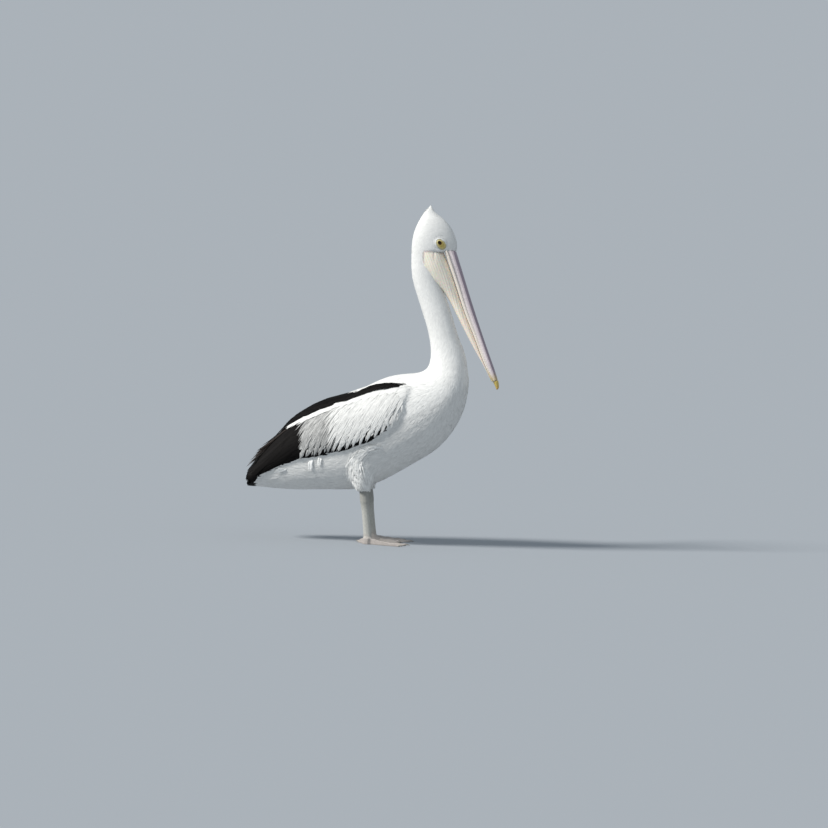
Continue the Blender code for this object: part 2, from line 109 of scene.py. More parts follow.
deselect()
bpy.ops.object.light_add(type="SUN", location=LAMP_PLACE * 3)
lamp = bpy.context.object
lamp.name = "lamp"
lamp.data.angle = LAMP_SPREAD
lamp.data.energy = max(LAMP_LIGHT)
lamp.data.color = [light / max(LAMP_LIGHT) for light in LAMP_LIGHT]
lamp.rotation_euler = LAMP_PLACE.to_track_quat("Z", "Y").to_euler()

deselect()
bpy.ops.mesh.primitive_circle_add(vertices=96, radius=FLOOR_REACH, fill_type="NGON")
floor = bpy.context.object
floor.name = "floor"
floor_finish, _, floor_shader = principled("pale_floor", 0.9, Specular_IOR_Level=0.0)
floor_grey = [
    room_part / (room_part + lamp_part * LAMP_PLACE.z / math.pi)
    for room_part, lamp_part in zip(ROOM_LIGHT, LAMP_LIGHT)
]
floor_shader.inputs["Base Color"].default_value = (*floor_grey, 1.0)
floor.data.materials.append(floor_finish)

# The camera stands level with the bird's throat, nine metres off its right side, and leans a little.
CAMERA_DISTANCE = 9.0
CAMERA_HEIGHT = 0.80
VIEW_MIDDLE = Vector((0.122, 0.0, 0.392))
VIEW_WIDTH = 2.484
CAMERA_ROLL = math.radians(2.7)
deselect()
bpy.ops.object.camera_add(location=(VIEW_MIDDLE.x, -CAMERA_DISTANCE, CAMERA_HEIGHT))
camera = bpy.context.object
camera.name = "camera"
sight = VIEW_MIDDLE - camera.location
camera.data.sensor_width = 36.0
camera.data.lens = camera.data.sensor_width * sight.length / VIEW_WIDTH
camera.rotation_euler = sight.to_track_quat("-Z", "Y").to_euler()
camera.rotation_euler.rotate_axis("Z", CAMERA_ROLL)
bpy.context.scene.camera = camera


# ---- The skin ----------------------------------------------------------------------------------
# One skin covers the head, neck, trunk, folded wings, tail and legs without a seam. It lies under
# the plumage by the plumage's depth, and comes to the surface on the bare legs and round the eyes.


def select_only(piece):
    deselect()
    piece.select_set(True)
    bpy.context.view_layer.objects.active = piece


def in_edit_mode(piece, *steps):
    """Runs edit-mode operators on the whole of one piece. Each step is an operator and its settings."""
    select_only(piece)
    bpy.ops.object.mode_set(mode="EDIT")
    bpy.ops.mesh.select_all(action="SELECT")
    for operator, settings in steps:
        operator(**settings)
    bpy.ops.object.mode_set(mode="OBJECT")


def add_modifier(piece, kind, **settings):
    """Adds a modifier and applies it at once."""
    modifier = piece.modifiers.new(kind.lower(), kind)
    for name, value in settings.items():
        setattr(modifier, name, value)
    bpy.context.view_layer.objects.active = piece
    bpy.ops.object.modifier_apply(modifier=modifier.name)


def merged_copy(name, nodes, grow=0.0):
    """One new object that holds copies of some solids, with their doubled corners merged."""
    deselect()
    for node in nodes:
        copy = frame["nodes"][node].copy()
        copy.data = copy.data.copy()
        copy.parent = None
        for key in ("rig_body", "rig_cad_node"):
            if key in copy:
                del copy[key]
        bpy.context.scene.collection.objects.link(copy)
        copy.select_set(True)
        if node == nodes[0]:
            bpy.context.view_layer.objects.active = copy
    if len(nodes) > 1:
        bpy.ops.object.join()
    joined = bpy.context.object
    joined.name = joined.data.name = name
    joined.data.materials.clear()
    merge = (bpy.ops.mesh.remove_doubles, {"threshold": 0.00001})
    in_edit_mode(joined, merge, (bpy.ops.mesh.normals_make_consistent, {"inside": False}))
    if grow:
        add_modifier(joined, "DISPLACE", strength=grow, mid_level=0.0)
    return joined


def read_corners(owner, field):
    flat = np.empty(len(owner) * 3, np.float32)
    owner.foreach_get(field, flat)
    return flat.reshape(-1, 3).astype(float)


def places_of(piece):
    return read_corners(piece.data.vertices, "co")


def normals_of(piece):
    return read_corners(piece.data.vertex_normals, "vector")


def move_to(piece, places):
    piece.data.vertices.foreach_set("co", np.asarray(places, np.float32).ravel())
    piece.data.update()


def keep_largest(piece):
    """Drops every loose part of a mesh but the one with the most corners."""
    name = piece.name
    in_edit_mode(piece, (bpy.ops.mesh.separate, {"type": "LOOSE"}))
    largest, *rest = sorted(bpy.context.selected_objects, key=lambda part: -len(part.data.vertices))
    for part in rest:
        bpy.data.objects.remove(part, do_unlink=True)
    largest.name = name
    return largest


GAP_FILL = 0.0016  # copies grow by this much, so that the thin gaps between solids close
BODY_GRAIN = 0.0046
PLUMED = ["head", "crest", "neck_upper", "neck_middle", "neck_lower", "trunk", "tail"]
PLUMED += [f"{part}_{side}" for side in SIDES for part in ("wing", "flight_feathers", "scapulars", "thigh")]
body = merged_copy("skin", PLUMED, GAP_FILL)
add_modifier(body, "REMESH", mode="VOXEL", voxel_size=BODY_GRAIN)
body = keep_largest(body)
add_modifier(body, "SMOOTH", factor=0.5, iterations=6)

# Depth of the plumage at heights above the floor, in metres.
COAT_DEPTHS = ((0.14, 0.004), (0.20, 0.008), (0.44, 0.0075), (0.56, 0.005), (0.72, 0.0034), (0.88, 0.0020))
THICKNESS_SHARE = 0.30  # of a thin place's thickness that plumage takes on each face
THICKEST_TRIED = 0.06
JUST_INSIDE = 0.0005  # where the look for a place's far face starts, so that it doesn't meet its own


def sink(piece, depths):
    """Moves a closed mesh inwards by a depth at each corner, less where it is thin."""
    places, normals = places_of(piece), normals_of(piece)
    tree = BVHTree.FromObject(piece, bpy.context.evaluated_depsgraph_get())
    for n in range(len(places)):
        inwards = -Vector(normals[n])
        start = Vector(places[n]) + inwards * JUST_INSIDE
        through = tree.ray_cast(start, inwards, THICKEST_TRIED)[3]
        if through is not None:
            depths[n] = min(depths[n], THICKNESS_SHARE * through)
    move_to(piece, places - normals * depths[:, None])


sink(body, np.interp(places_of(body)[:, 2], *zip(*COAT_DEPTHS)) + GAP_FILL)
add_modifier(body, "SMOOTH", factor=0.5, iterations=5)

# The bare legs and feet have a finer grain. Their tops run up into the feathered thighs, where the
# two surfaces join into one skin. The toes have low knuckles, and the webs between them fine pleats.
LEG_GRAIN = 0.0017
LEG_FILL = 0.0004
SHANK_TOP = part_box("shank_left")[1].z
LEG_INSERT, LEG_RIM = 0.030, 0.004  # how far the shank's rim is drawn up into the thigh, and its height
LEG_LEAN = 0.13
SCUTE_STEP = 0.0042
TOE_HALF = 0.0060
FOOT_TOP = 0.022
KNUCKLE_STEP, KNUCKLE_RISE = 0.030, 0.0009
WEB_PLEAT, PLEAT_WAVES = 0.00022, 900
SOLE_FLATTENED = 0.0012  # what lies lower than this is pressed flat on the floor


def toe_lines(side):
    """Each toe's line on the floor, from the middle of the ankle to the root of its claw."""
    low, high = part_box(f"shank_{side}")
    lean = LEG_LEAN * (high.z - low.z) / 2
    ankle = np.array([(low.x + high.x) / 2 + lean, (low.y + high.y) / 2])
    claws = [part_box(f"claw_{side}_{number}") for number in range(1, 5)]
    return ankle, [np.array([(low.x + high.x) / 2, (low.y + high.y) / 2]) for low, high in claws]


def along_toes(places, side):
    """How far along its nearest toe each place lies, and how far off that toe's line."""
    ankle, ends = toe_lines(side)
    best_off = np.full(len(places), 1.0)
    best_along = np.zeros(len(places))
    from_ankle = places[:, :2] - ankle
    for end in ends:
        reach = np.linalg.norm(end - ankle)
        heading = (end - ankle) / reach
        along = np.clip(from_ankle @ heading, 0.0, reach)
        off = np.linalg.norm(from_ankle - along[:, None] * heading, axis=1)
        best_along = np.where(off < best_off, along, best_along)
        best_off = np.minimum(off, best_off)
    return best_along, best_off


for side in SIDES:
    leg = merged_copy("leg_" + side, [f"shank_{side}", f"foot_{side}"], LEG_FILL)
    places = places_of(leg)
    places[places[:, 2] > SHANK_TOP - LEG_RIM] += (-LEG_LEAN * LEG_INSERT, 0.0, LEG_INSERT)
    move_to(leg, places)
    add_modifier(leg, "REMESH", mode="VOXEL", voxel_size=LEG_GRAIN)
    add_modifier(leg, "SMOOTH", factor=0.5, iterations=4)
    places, normals = places_of(leg), normals_of(leg)
    along, off = along_toes(places, side)
    ridge = np.exp(-((off / TOE_HALF) ** 2)) * (places[:, 2] < FOOT_TOP) * (normals[:, 2] > 0.1)
    knuckles = KNUCKLE_RISE * ridge * (0.6 + np.cos(2 * math.pi * along / KNUCKLE_STEP))
    web = (off > TOE_HALF * 1.1) * (normals[:, 2] > 0.5) * (places[:, 2] < FOOT_TOP - 0.002)
    pleats = WEB_PLEAT * web * np.sin(off * PLEAT_WAVES)
    places += normals * (knuckles + pleats)[:, None]
    pressed = np.maximum(places[:, 2] * 0.2, 0.0)
    places[:, 2] = np.where(places[:, 2] < SOLE_FLATTENED, pressed, places[:, 2])
    move_to(leg, places)
    add_modifier(body, "BOOLEAN", operation="UNION", solver="MANIFOLD", object=leg)
    bpy.data.objects.remove(leg, do_unlink=True)

# Round each eye the skin is finer. It comes up to the surface in a bare oval that runs forward and
# down, with a lid that closes over the rim of the eyeball.
EYE = (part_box("eye_left")[0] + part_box("eye_left")[1]) / 2
EYE_RADIUS = (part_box("eye_left")[1].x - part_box("eye_left")[0].x) / 2
HEAD_LOW, HEAD_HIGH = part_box("head")
FACE_REACH = 0.026
FACE_BESIDE = 0.012  # the face lies at least this far out from the bird's middle
FACE_FOOT = HEAD_LOW.z - 0.02
LID_EDGE = 0.0060
LID_LEAN, LID_LONG, LID_SHORT = math.radians(-38), 1.08, 0.80
LID_ROLL, LID_RISE = 0.0022, 0.0011
LID_FOLD_OFF, LID_FOLD_HALF, LID_FOLD_DEPTH = 0.0046, 0.0009, 0.0005
BARE_SHIFT = (0.0042, -0.0042)  # from the eye to the middle of the bare oval, as x and z
BARE_HEADING, BARE_LONG, BARE_SHORT = math.radians(-45), 0.0185, 0.0125
BARE_RISE = 0.0020
SOCKET_DEPTH = 0.0065
BALL_GAP = 0.0004  # between the eyeball and the lids that lie over it
CHEEK_RING = (0.015, 0.026)  # distances from the eye between which the cheek's curve is read
CHEEK_BLEND = (0.017, 0.024)  # and over which the shaped face runs out into the cheek


def turned(x, z, angle):
    """Coordinates along and across a heading in side view."""
    return x * math.cos(angle) + z * math.sin(angle), z * math.cos(angle) - x * math.sin(angle)


def bare_share(places):
    """Under 1 inside the bare oval round either eye, as seen from the side."""
    x, z = places[:, 0] - EYE.x - BARE_SHIFT[0], places[:, 2] - EYE.z - BARE_SHIFT[1]
    along, across = turned(x, z, BARE_HEADING)
    near_side = np.abs(places[:, 1]) > EYE.y * 0.5
    return np.where(near_side, np.hypot(along / BARE_LONG, across / BARE_SHORT), 9.0)


def from_eye(places):
    return np.hypot(places[:, 0] - EYE.x, places[:, 2] - EYE.z)


def from_lids(places):
    """Distance from the eye's middle, stretched so that the lids' opening is an oval that leans forward."""
    along, across = turned(places[:, 0] - EYE.x, places[:, 2] - EYE.z, LID_LEAN)
    return np.hypot(along / LID_LONG, across / LID_SHORT)


def step_up(values, low, high):
    """A smooth step from 0 at the low value to 1 at the high one."""
    share = np.clip((values - low) / (high - low), 0.0, 1.0)
    return share * share * (3 - 2 * share)


def bell(values, half):
    """1 where the values are 0, falling smoothly away over about a half width."""
    return np.exp(-((values / half) ** 2))


def near_eyes(edge):
    """Whether an edge of the skin starts close round either eye."""
    x, y, z = edge.verts[0].co
    reach = (Vector((x, 0.0, z)) - Vector((EYE.x + 0.003, 0.0, EYE.z - 0.003))).length
    return abs(y) > FACE_BESIDE and reach < FACE_REACH and z > FACE_FOOT


shape = bmesh.new()
shape.from_mesh(body.data)
for _ in range(2):
    finer = [edge for edge in shape.edges if near_eyes(edge)]
    bmesh.ops.subdivide_edges(shape, edges=finer, cuts=1, use_grid_fill=True, smooth=0.0)
shape.to_mesh(body.data)
shape.free()
places = places_of(body)
for hand in SIDES.values():
    on_side = (places[:, 1] * hand > FACE_BESIDE) & (places[:, 2] > FACE_FOOT)
    u, v = places[:, 0] - EYE.x, places[:, 2] - EYE.z
    off, lid_off = from_eye(places), from_lids(places)
    # The cheek's own curve is read from a ring round the eye, and the face is shaped from it.
    ring = on_side & (off > CHEEK_RING[0]) & (off < CHEEK_RING[1])
    terms = np.stack([np.ones_like(u), u, v, u * u, u * v, v * v], axis=1)
    fit = np.linalg.lstsq(terms[ring], places[ring, 1] * hand, rcond=None)[0]
    bare = 1 - step_up(bare_share(places), 0.75, 1.25)
    lid = LID_RISE * bell(lid_off - LID_EDGE - LID_ROLL * 0.6, LID_ROLL)
    fold = -LID_FOLD_DEPTH * bell(lid_off - LID_EDGE - LID_FOLD_OFF, LID_FOLD_HALF)
    ball = EYE.y + np.sqrt(np.maximum(EYE_RADIUS**2 - off**2, 0.0))
    raised = terms @ fit + BARE_RISE * bare + lid + fold
    raised = np.maximum(raised, np.where(off < EYE_RADIUS + 0.002, ball + BALL_GAP, 0.0))
    raised -= SOCKET_DEPTH * (1 - step_up(lid_off, LID_EDGE - 0.0007, LID_EDGE + 0.0002))
    blend = on_side * (1 - step_up(off, *CHEEK_BLEND))
    places[:, 1] = np.where(blend > 0, places[:, 1] * (1 - blend) + hand * raised * blend, places[:, 1])
move_to(body, places)


# What shows dark and what shows white is settled here once, for the skin and for every feather.
WHITE = np.array([0.84, 0.84, 0.82])
SOOT = np.array([0.0048, 0.0043, 0.0042])
LEG_GREY = np.array([0.50, 0.50, 0.46])
FOOT_CREAM = np.array([0.44, 0.40, 0.37])
ORBIT_YELLOW = np.array([0.62, 0.47, 0.12])
ORBIT_CREAM = np.array([0.80, 0.72, 0.40])
UNDER_WHITE = WHITE * 0.93  # the skin's white under the feathers
READ_OUT = 0.009  # how far out from the skin its own markings are read, near the coat's outside
UPPER_SHANK_DARKENING, LID_SHADE, MOTTLING = 0.30, 0.70, 0.02
SMALL_SCALES = 420.0  # to the metre
SCALE_RELIEF = 0.0016


def point_in(node, share_x, share_z):
    """A point of a solid's box in side view, by its shares from back to front and from bottom to top."""
    low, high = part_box(node)
    return low.x + share_x * (high.x - low.x), low.z + share_z * (high.z - low.z)


def points_in(node, *shares):
    return [point_in(node, *pair) for pair in shares]


def height_of(places, line):
    """Height of a line through (x, z) points, at each place's x."""
    return np.interp(places[:, 0], *zip(*sorted(line)))


# Edges of the markings in side view: the black back band's lower edge, the white back over it, and the
# wing's lower edge, where the white underparts meet a black border.
BAND_EDGE = points_in(
    "scapulars_right",
    (1.06, 0.955), (0.98, 0.945), (0.90, 0.920), (0.79, 0.870), (0.69, 0.801), (0.59, 0.703),
    (0.47, 0.592), (0.362, 0.471), (0.229, 0.333), (0.122, 0.181), (-0.298, -0.270),
)
MANTLE_EDGE = points_in(
    "scapulars_right",
    (1.06, 0.960), (0.98, 0.978), (0.836, 0.992), (0.787, 0.972), (0.677, 0.890), (0.520, 0.715),
)
WING_EDGE = points_in(
    "wing_right",
    (0.9255, 0.54), (0.70, 0.309), (0.424, 0.155), (0.099, 0.027), (-0.18, -0.110), (-0.493, -0.315),
)
PANEL_TOP, PANEL_FOOT = points_in("wing_right", (0.082, 0.514), (-0.006, 0.040))
PANEL_SLOPE = (PANEL_TOP[0] - PANEL_FOOT[0]) / (PANEL_TOP[1] - PANEL_FOOT[1])
MANTLE_END = MANTLE_EDGE[-1][0]
# Half width of the white back where the black closes in behind it, from its end forwards.
MANTLE_XS = [MANTLE_END + forward for forward in (0.0, 0.008, 0.028, 0.058, 0.098)]
MANTLE_HALVES = (0.0, 0.030, 0.046, 0.053, 0.044)
FEATHER_END = SHANK_TOP + 0.014  # height at which the thigh's feathers stop and the bare leg begins
BORDER_RISE = 0.034  # the black border's height where it is highest, under the white coverts' tips
BORDER_SLOPE = 0.45
TAIL_BLACK = point_in("tail", 0.17, 0)[0]


def border_top(x):
    """The border's height over the wing's lower edge. It tapers to a point at the front."""
    return np.clip((WING_EDGE[0][0] - x) * BORDER_SLOPE, 0.0, BORDER_RISE)


def behind_panel_front(places):
    """How far behind the line where the white coverts end each place lies, in side view."""
    return PANEL_TOP[0] + (places[:, 2] - PANEL_TOP[1]) * PANEL_SLOPE - places[:, 0]


def darkness(places):
    """0 where the bird is white and 1 where it is black, from its wing and tail markings."""
    x, z = places[:, 0], places[:, 2]
    over_edge = z - height_of(places, WING_EDGE)
    panel = step_up(over_edge, 0.0, 0.005) * step_up(behind_panel_front(places), -0.005, 0.005)
    border = step_up(over_edge, 0.0, 0.003) * (over_edge < border_top(x))
    tail = step_up(-x, -TAIL_BLACK, 0.006 - TAIL_BLACK)
    band = step_up(z - height_of(places, BAND_EDGE), 0.0, 0.004) * (x < BAND_EDGE[0][0])
    over_mantle = z > height_of(places, MANTLE_EDGE)
    inside = np.abs(places[:, 1]) < np.interp(x, MANTLE_XS, MANTLE_HALVES)
    band *= 1 - np.where(x > MANTLE_XS[-1], over_mantle, inside)
    return np.clip(np.maximum.reduce([panel, border, tail, band]), 0.0, 1.0)


def mixed(tones, other, share):
    """Colours part of the way from one set to another, by a share at each corner."""
    return tones + (other - tones) * share[:, None]


def write_layer(mesh, name, kind, field, values):
    """Stores values at each corner of a mesh, which its material reads by the layer's name."""
    layer = mesh.attributes.new(name, kind, "POINT")
    layer.data.foreach_set(field, np.ascontiguousarray(values, np.float32).ravel())


def write_tone(piece, tones):
    write_layer(piece.data, "tone", "FLOAT_COLOR", "color", np.insert(tones, 3, 1.0, axis=1))


def add_node(tree, kind, inputs, **settings):
    """Adds a shader node whose inputs are plain values or other nodes' outputs."""
    node = tree.nodes.new("ShaderNode" + kind)
    for name, value in settings.items():
        setattr(node, name, value)
    for name, value in inputs.items():
        if isinstance(value, bpy.types.NodeSocket):
            tree.links.new(value, node.inputs[name])
        else:
            node.inputs[name].default_value = value
    return node.outputs


def math_node(tree, operation, *values):
    return add_node(tree, "Math", dict(enumerate(values)), operation=operation)[0]


def own_place(tree):
    return add_node(tree, "TexCoord", {})["Object"]


def read_layer(tree, name, output):
    return add_node(tree, "Attribute", {}, attribute_name=name)[output]


def toned(name, roughness, grain, grain_share, **sockets):
    """A material that reads the tone stored on its mesh and varies it with a fine noise."""
    material, tree, shader = principled(name, roughness, **sockets)
    noise = add_node(tree, "TexNoise", {"Vector": own_place(tree), "Scale": grain, "Detail": 5.0})["Fac"]
    span = {"From Min": 0.3, "From Max": 0.7, "To Min": 1.0 - grain_share, "To Max": 1.0 + grain_share * 0.4}
    share = add_node(tree, "MapRange", {"Value": noise, **span})["Result"]
    tone = read_layer(tree, "tone", "Color")
    varied = add_node(tree, "VectorMath", {0: tone, "Scale": share}, operation="SCALE")["Vector"]
    tree.links.new(varied, shader.inputs["Base Color"])
    return material, tree, shader


def bumped(tree, shader, height, depth, strength):
    """Feeds a texture to a shader as relief of a depth in metres."""
    bump = add_node(tree, "Bump", {"Height": height, "Distance": depth, "Strength": strength})
    tree.links.new(bump["Normal"], shader.inputs["Normal"])


def cells(tree, scale):
    """Small flat cells with creases between them, as on bare skin."""
    inputs = {"Vector": own_place(tree), "Scale": scale}
    return add_node(tree, "TexVoronoi", inputs, feature="DISTANCE_TO_EDGE")["Distance"]


def finish_piece(piece, finish, slot, *nodes):
    """Shades a piece smooth, gives it its material, and says what it rides on and which solids it shows."""
    select_only(piece)
    bpy.ops.object.shade_smooth()
    piece.data.materials.clear()
    piece.data.materials.append(finish)
    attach(piece, "root")
    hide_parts(*nodes)


places = places_of(body)
bare_of = bare_share(places)
tones = mixed(UNDER_WHITE, SOOT, darkness(places + normals_of(body) * READ_OUT))
leg_share = 1 - step_up(places[:, 2], FEATHER_END, FEATHER_END + 0.006)
leg_tones = mixed(LEG_GREY, FOOT_CREAM, 1 - step_up(places[:, 2], 0.010, 0.040))
mottle = np.sin(places[:, 0] * 900 + 3 * np.sin(places[:, 2] * 260))
mottle *= np.sin(places[:, 1] * 800 + places[:, 2] * 410)
# The bare leg is toned darker towards the top of the shank, under the thigh's feathers.
upper_shank_dark = UPPER_SHANK_DARKENING * step_up(places[:, 2], SHANK_TOP - 0.060, SHANK_TOP - 0.010)
leg_tones = leg_tones * (1 - upper_shank_dark - MOTTLING * mottle)[:, None]
tones = tones * (1 - leg_share)[:, None] + leg_tones * leg_share[:, None]
bare = (1 - step_up(bare_of, 0.95, 1.08))[:, None]
tones = tones * (1 - bare) + mixed(ORBIT_YELLOW, ORBIT_CREAM, step_up(bare_of, 0.45, 1.0)) * bare
lid_line = bell(from_lids(places) - LID_EDGE, 0.0008)[:, None] * bare
write_tone(body, tones * (1 - LID_SHADE * lid_line))

# On the legs and toes the skin is set with scales, in rings across each toe and small ones elsewhere.
on_left = places[:, 1] > 0
toe_along, toe_off = np.where(on_left, along_toes(places, "left"), along_toes(places, "right"))
on_toe = np.exp(-((toe_off / TOE_HALF) ** 4)) * (places[:, 2] < 0.024)
scale_values = np.stack([toe_along, on_toe, leg_share], axis=1)
write_layer(body.data, "scales", "FLOAT_VECTOR", "vector", scale_values)
skin_finish, tree, skin_shader = toned("bare_and_feathered_skin", 0.55, 240.0, 0.14)
toe_scales = add_node(tree, "SeparateXYZ", {0: read_layer(tree, "scales", "Vector")})
ring_phase = math_node(tree, "MULTIPLY", toe_scales["X"], math.pi / SCUTE_STEP)
ring_wave = math_node(tree, "ABSOLUTE", math_node(tree, "SINE", ring_phase))
rings = math_node(tree, "MINIMUM", math_node(tree, "MULTIPLY", ring_wave, 0.5), 0.25)
rings = math_node(tree, "MULTIPLY", rings, toe_scales["Y"])
off_toes = math_node(tree, "SUBTRACT", 1.0, toe_scales["Y"])
small = math_node(tree, "MULTIPLY", math_node(tree, "MINIMUM", cells(tree, SMALL_SCALES), 0.18), off_toes)
bumped(tree, skin_shader, math_node(tree, "ADD", rings, small), SCALE_RELIEF, 0.7)
bare_nodes = [f"{part}_{side}" for part in ("shank", "foot") for side in SIDES]
finish_piece(body, skin_finish, "white_feather", *PLUMED, *bare_nodes)


# ---- The eyes ----------------------------------------------------------------------------------
# Each eye is a wet ball with a bulging cornea: a black pupil in a dark brown iris. The glass eyes of
# a museum model are made as one such ball and set into the socket behind the lids.
PUPIL, IRIS = 0.0027, 0.0058
CORNEA_RISE, CORNEA_HALF = 0.0005, 0.0042
EYE_RINGS = [  # share of the ball's radius, colour
    (0.0, (0.004, 0.003, 0.003, 1)),
    (PUPIL / EYE_RADIUS, (0.004, 0.003, 0.003, 1)),
    (PUPIL / EYE_RADIUS + 0.05, (0.115, 0.060, 0.022, 1)),
    (IRIS / EYE_RADIUS, (0.060, 0.030, 0.012, 1)),
    (IRIS / EYE_RADIUS + 0.08, (0.012, 0.008, 0.006, 1)),
]
eye_finish, tree, eye_shader = principled("wet_eye", 0.05, Specular_IOR_Level=0.2, Coat_Weight=0.25)
eye_place = add_node(tree, "SeparateXYZ", {0: own_place(tree)})
squares = []
for axis, middle in (("X", EYE.x), ("Z", EYE.z)):
    offset = math_node(tree, "ABSOLUTE", math_node(tree, "SUBTRACT", eye_place[axis], middle))
    squares.append(math_node(tree, "POWER", offset, 2.0))
eye_off = math_node(tree, "SQRT", math_node(tree, "ADD", *squares))
eye_share = math_node(tree, "DIVIDE", eye_off, EYE_RADIUS)
eye_colour = add_node(tree, "ValToRGB", {"Fac": eye_share})["Color"]
ramp = eye_colour.node.color_ramp.elements
while len(ramp) < len(EYE_RINGS):
    ramp.new(1.0)
for ring, (position, colour) in zip(ramp, EYE_RINGS):
    ring.position = position
    ring.color = colour
tree.links.new(eye_colour, eye_shader.inputs["Base Color"])
for side, hand in SIDES.items():
    deselect()
    bpy.ops.mesh.primitive_uv_sphere_add(
        segments=48, ring_count=32, radius=EYE_RADIUS, location=(EYE.x, EYE.y * hand, EYE.z)
    )
    eye = bpy.context.object
    eye.name = "eyeball_" + side
    bpy.ops.object.transform_apply(location=True)
    places = places_of(eye)
    places[:, 1] += hand * (CORNEA_RISE * bell(from_eye(places), CORNEA_HALF) * (places[:, 1] * hand > EYE.y))
    move_to(eye, places)
    finish_piece(eye, eye_finish, "eye", "eye_" + side)


# ---- The bill ----------------------------------------------------------------------------------
# The upper half is a long flat horny plate with a rounded ridge down its middle and a groove beside
# it, and ends in a hooked nail. The lower half is two thin rods of jaw that hold the pouch between
# them. They are parted by the gape, and all of them are drawn from the solids' own outlines.
BILL_DROP = math.radians(70.4)
BILL_ROOT = np.array([HEAD_HIGH.x - 0.0009, HEAD_LOW.z])
DOWN_BILL = np.array([math.cos(BILL_DROP), -math.sin(BILL_DROP)])
ACROSS_BILL = np.array([-math.sin(BILL_DROP), -math.cos(BILL_DROP)])
BILL_REACH = 0.400
STATION_HALF = 0.006  # a station down the bill is measured on the corners this near to it
STATIONS = np.linspace(2 * STATION_HALF, BILL_REACH - STATION_HALF, 40)
ROOT_TUCK, ROOT_RIM = 0.007, 0.004  # how far a tucked root is drawn up, and the length that is drawn
CULMEN_HALF, CULMEN_RISE = 0.0032, 0.0009
GROOVE_AT, GROOVE_HALF = 0.56, 0.085  # shares of the half width
GROOVE_DEPTH, SIDE_GROOVE_DEPTH = 0.0010, 0.0007
GAPE_CLOSING = 0.16  # share of its depth by which each half comes out to meet the other
GAPE_FULL = 0.985  # share of its half width that each half has at the gape
TIP_FADE = (0.36, 0.395)  # distances down the bill over which ridge and grooves run out
# Shares by which the grooves, the ridge and the gape's two edges are toned darker: painted shade.
GROOVE_SHADE, RIDGE_SHADE, UPPER_GAPE_SHADE, LOWER_GAPE_SHADE = 0.30, 0.25, 0.25, 0.35
# The mauve on the top of the upper half is partly the bill's own colour and partly painted shade.
SHADED_MAUVE = np.array([0.36, 0.28, 0.34])
LILAC = np.array([0.87, 0.77, 0.79])
CREAM = np.array([0.93, 0.85, 0.76])
# A grey laid along the gape and along the pouch's rear edge and root: painted shade in those crevices.
CREVICE_SHADE_GREY = np.array([0.24, 0.21, 0.22])
TIP_YELLOW = np.array([0.66, 0.50, 0.13])
HOOK_AMBER = np.array([0.60, 0.36, 0.07])


def bill_frame(places):
    """Each place as its distance down the bill and its depth under the ridge's straight line."""
    flat = places[:, [0, 2]] - BILL_ROOT
    return flat @ DOWN_BILL, flat @ ACROSS_BILL


def smooth_copy(name, node, levels, tucked=False):
    """A copy of a solid, rounded off by subdivision. A tucked one runs up under the face's feathers."""
    piece = merged_copy(name, [node])
    in_edit_mode(piece, (bpy.ops.mesh.tris_convert_to_quads, {"face_threshold": 0.7, "shape_threshold": 0.7}))
    add_modifier(piece, "SUBSURF", levels=levels, render_levels=levels)
    if tucked:
        places = places_of(piece)
        places[bill_frame(places)[0] < ROOT_RIM] -= ROOT_TUCK * np.insert(DOWN_BILL, 1, 0.0)
        move_to(piece, places)
    return piece


def girth_table(places):
    """The near edge, far edge and half width of a length of bill at each station down it."""
    down, depth = bill_frame(places)
    rows = []
    for station in STATIONS:
        near = np.abs(down - station) < STATION_HALF
        rows.append((depth[near].min(), depth[near].max(), np.abs(places[near, 1]).max()))
    return np.array(rows).T


def close_gape(places, near, far, half, edge):
    """Fills a half of the bill out to its full width along the gape, which is then only a thin line."""
    reach, width = far - near, np.abs(places[:, 1])
    at_edge = 1 - step_up(np.abs(bill_frame(places)[1] - edge), 0.35 * reach, 0.75 * reach)
    outer = at_edge * step_up(width / half, 0.35, 0.75)
    places[:, 1] = np.sign(places[:, 1]) * (width + np.maximum(GAPE_FULL * half - width, 0.0) * outer)


def move_in_depth(places, moves):
    """Moves places across the bill, towards the throat where the move is positive."""
    places[:, [0, 2]] += moves[:, None] * ACROSS_BILL


upper = smooth_copy("bill_upper_half", "bill_upper", 3, tucked=True)
places = places_of(upper)
upper_girths = girth_table(places)
down, depth = bill_frame(places)
near, far, half = (np.interp(down, STATIONS, row) for row in upper_girths)
close_gape(places, near, far, half, far)
on_top = 1 - step_up(depth, near, (near + far) / 2)
across = np.abs(places[:, 1]) / half
fade_tip = 1 - step_up(down, *TIP_FADE)
culmen = CULMEN_RISE * bell(places[:, 1], CULMEN_HALF) * on_top * fade_tip
groove = bell(across - GROOVE_AT, GROOVE_HALF) * on_top * fade_tip
closing = GAPE_CLOSING * (far - near) * step_up(depth, near + 0.6 * (far - near), far - 0.001)
move_in_depth(places, closing - culmen + GROOVE_DEPTH * groove)
side_groove = bell((depth - near) / (far - near) - 0.50, 0.05) * step_up(across, 0.7, 0.9)
places[:, 1] -= np.sign(places[:, 1]) * SIDE_GROOVE_DEPTH * side_groove * fade_tip
move_to(upper, places)
paler = step_up(depth, near + 0.26 * (far - near), near + 0.58 * (far - near))
creamier = 0.6 * step_up(depth, near + 0.62 * (far - near), near + 0.90 * (far - near))
tones = mixed(mixed(SHADED_MAUVE, LILAC, paler), CREAM, creamier)
tones = tones * (1 - GROOVE_SHADE * np.maximum(groove, side_groove)[:, None])
# A grey along the upper half's edge at the gape: painted shade.
tones = mixed(tones, CREVICE_SHADE_GREY, UPPER_GAPE_SHADE * step_up(depth, far - 0.0012, far - 0.0003))
tones = tones * (1 - (RIDGE_SHADE * bell(places[:, 1], 0.005) * on_top)[:, None])
write_tone(upper, mixed(tones, TIP_YELLOW, step_up(down / BILL_REACH, 0.92, 1.0) * 0.6))

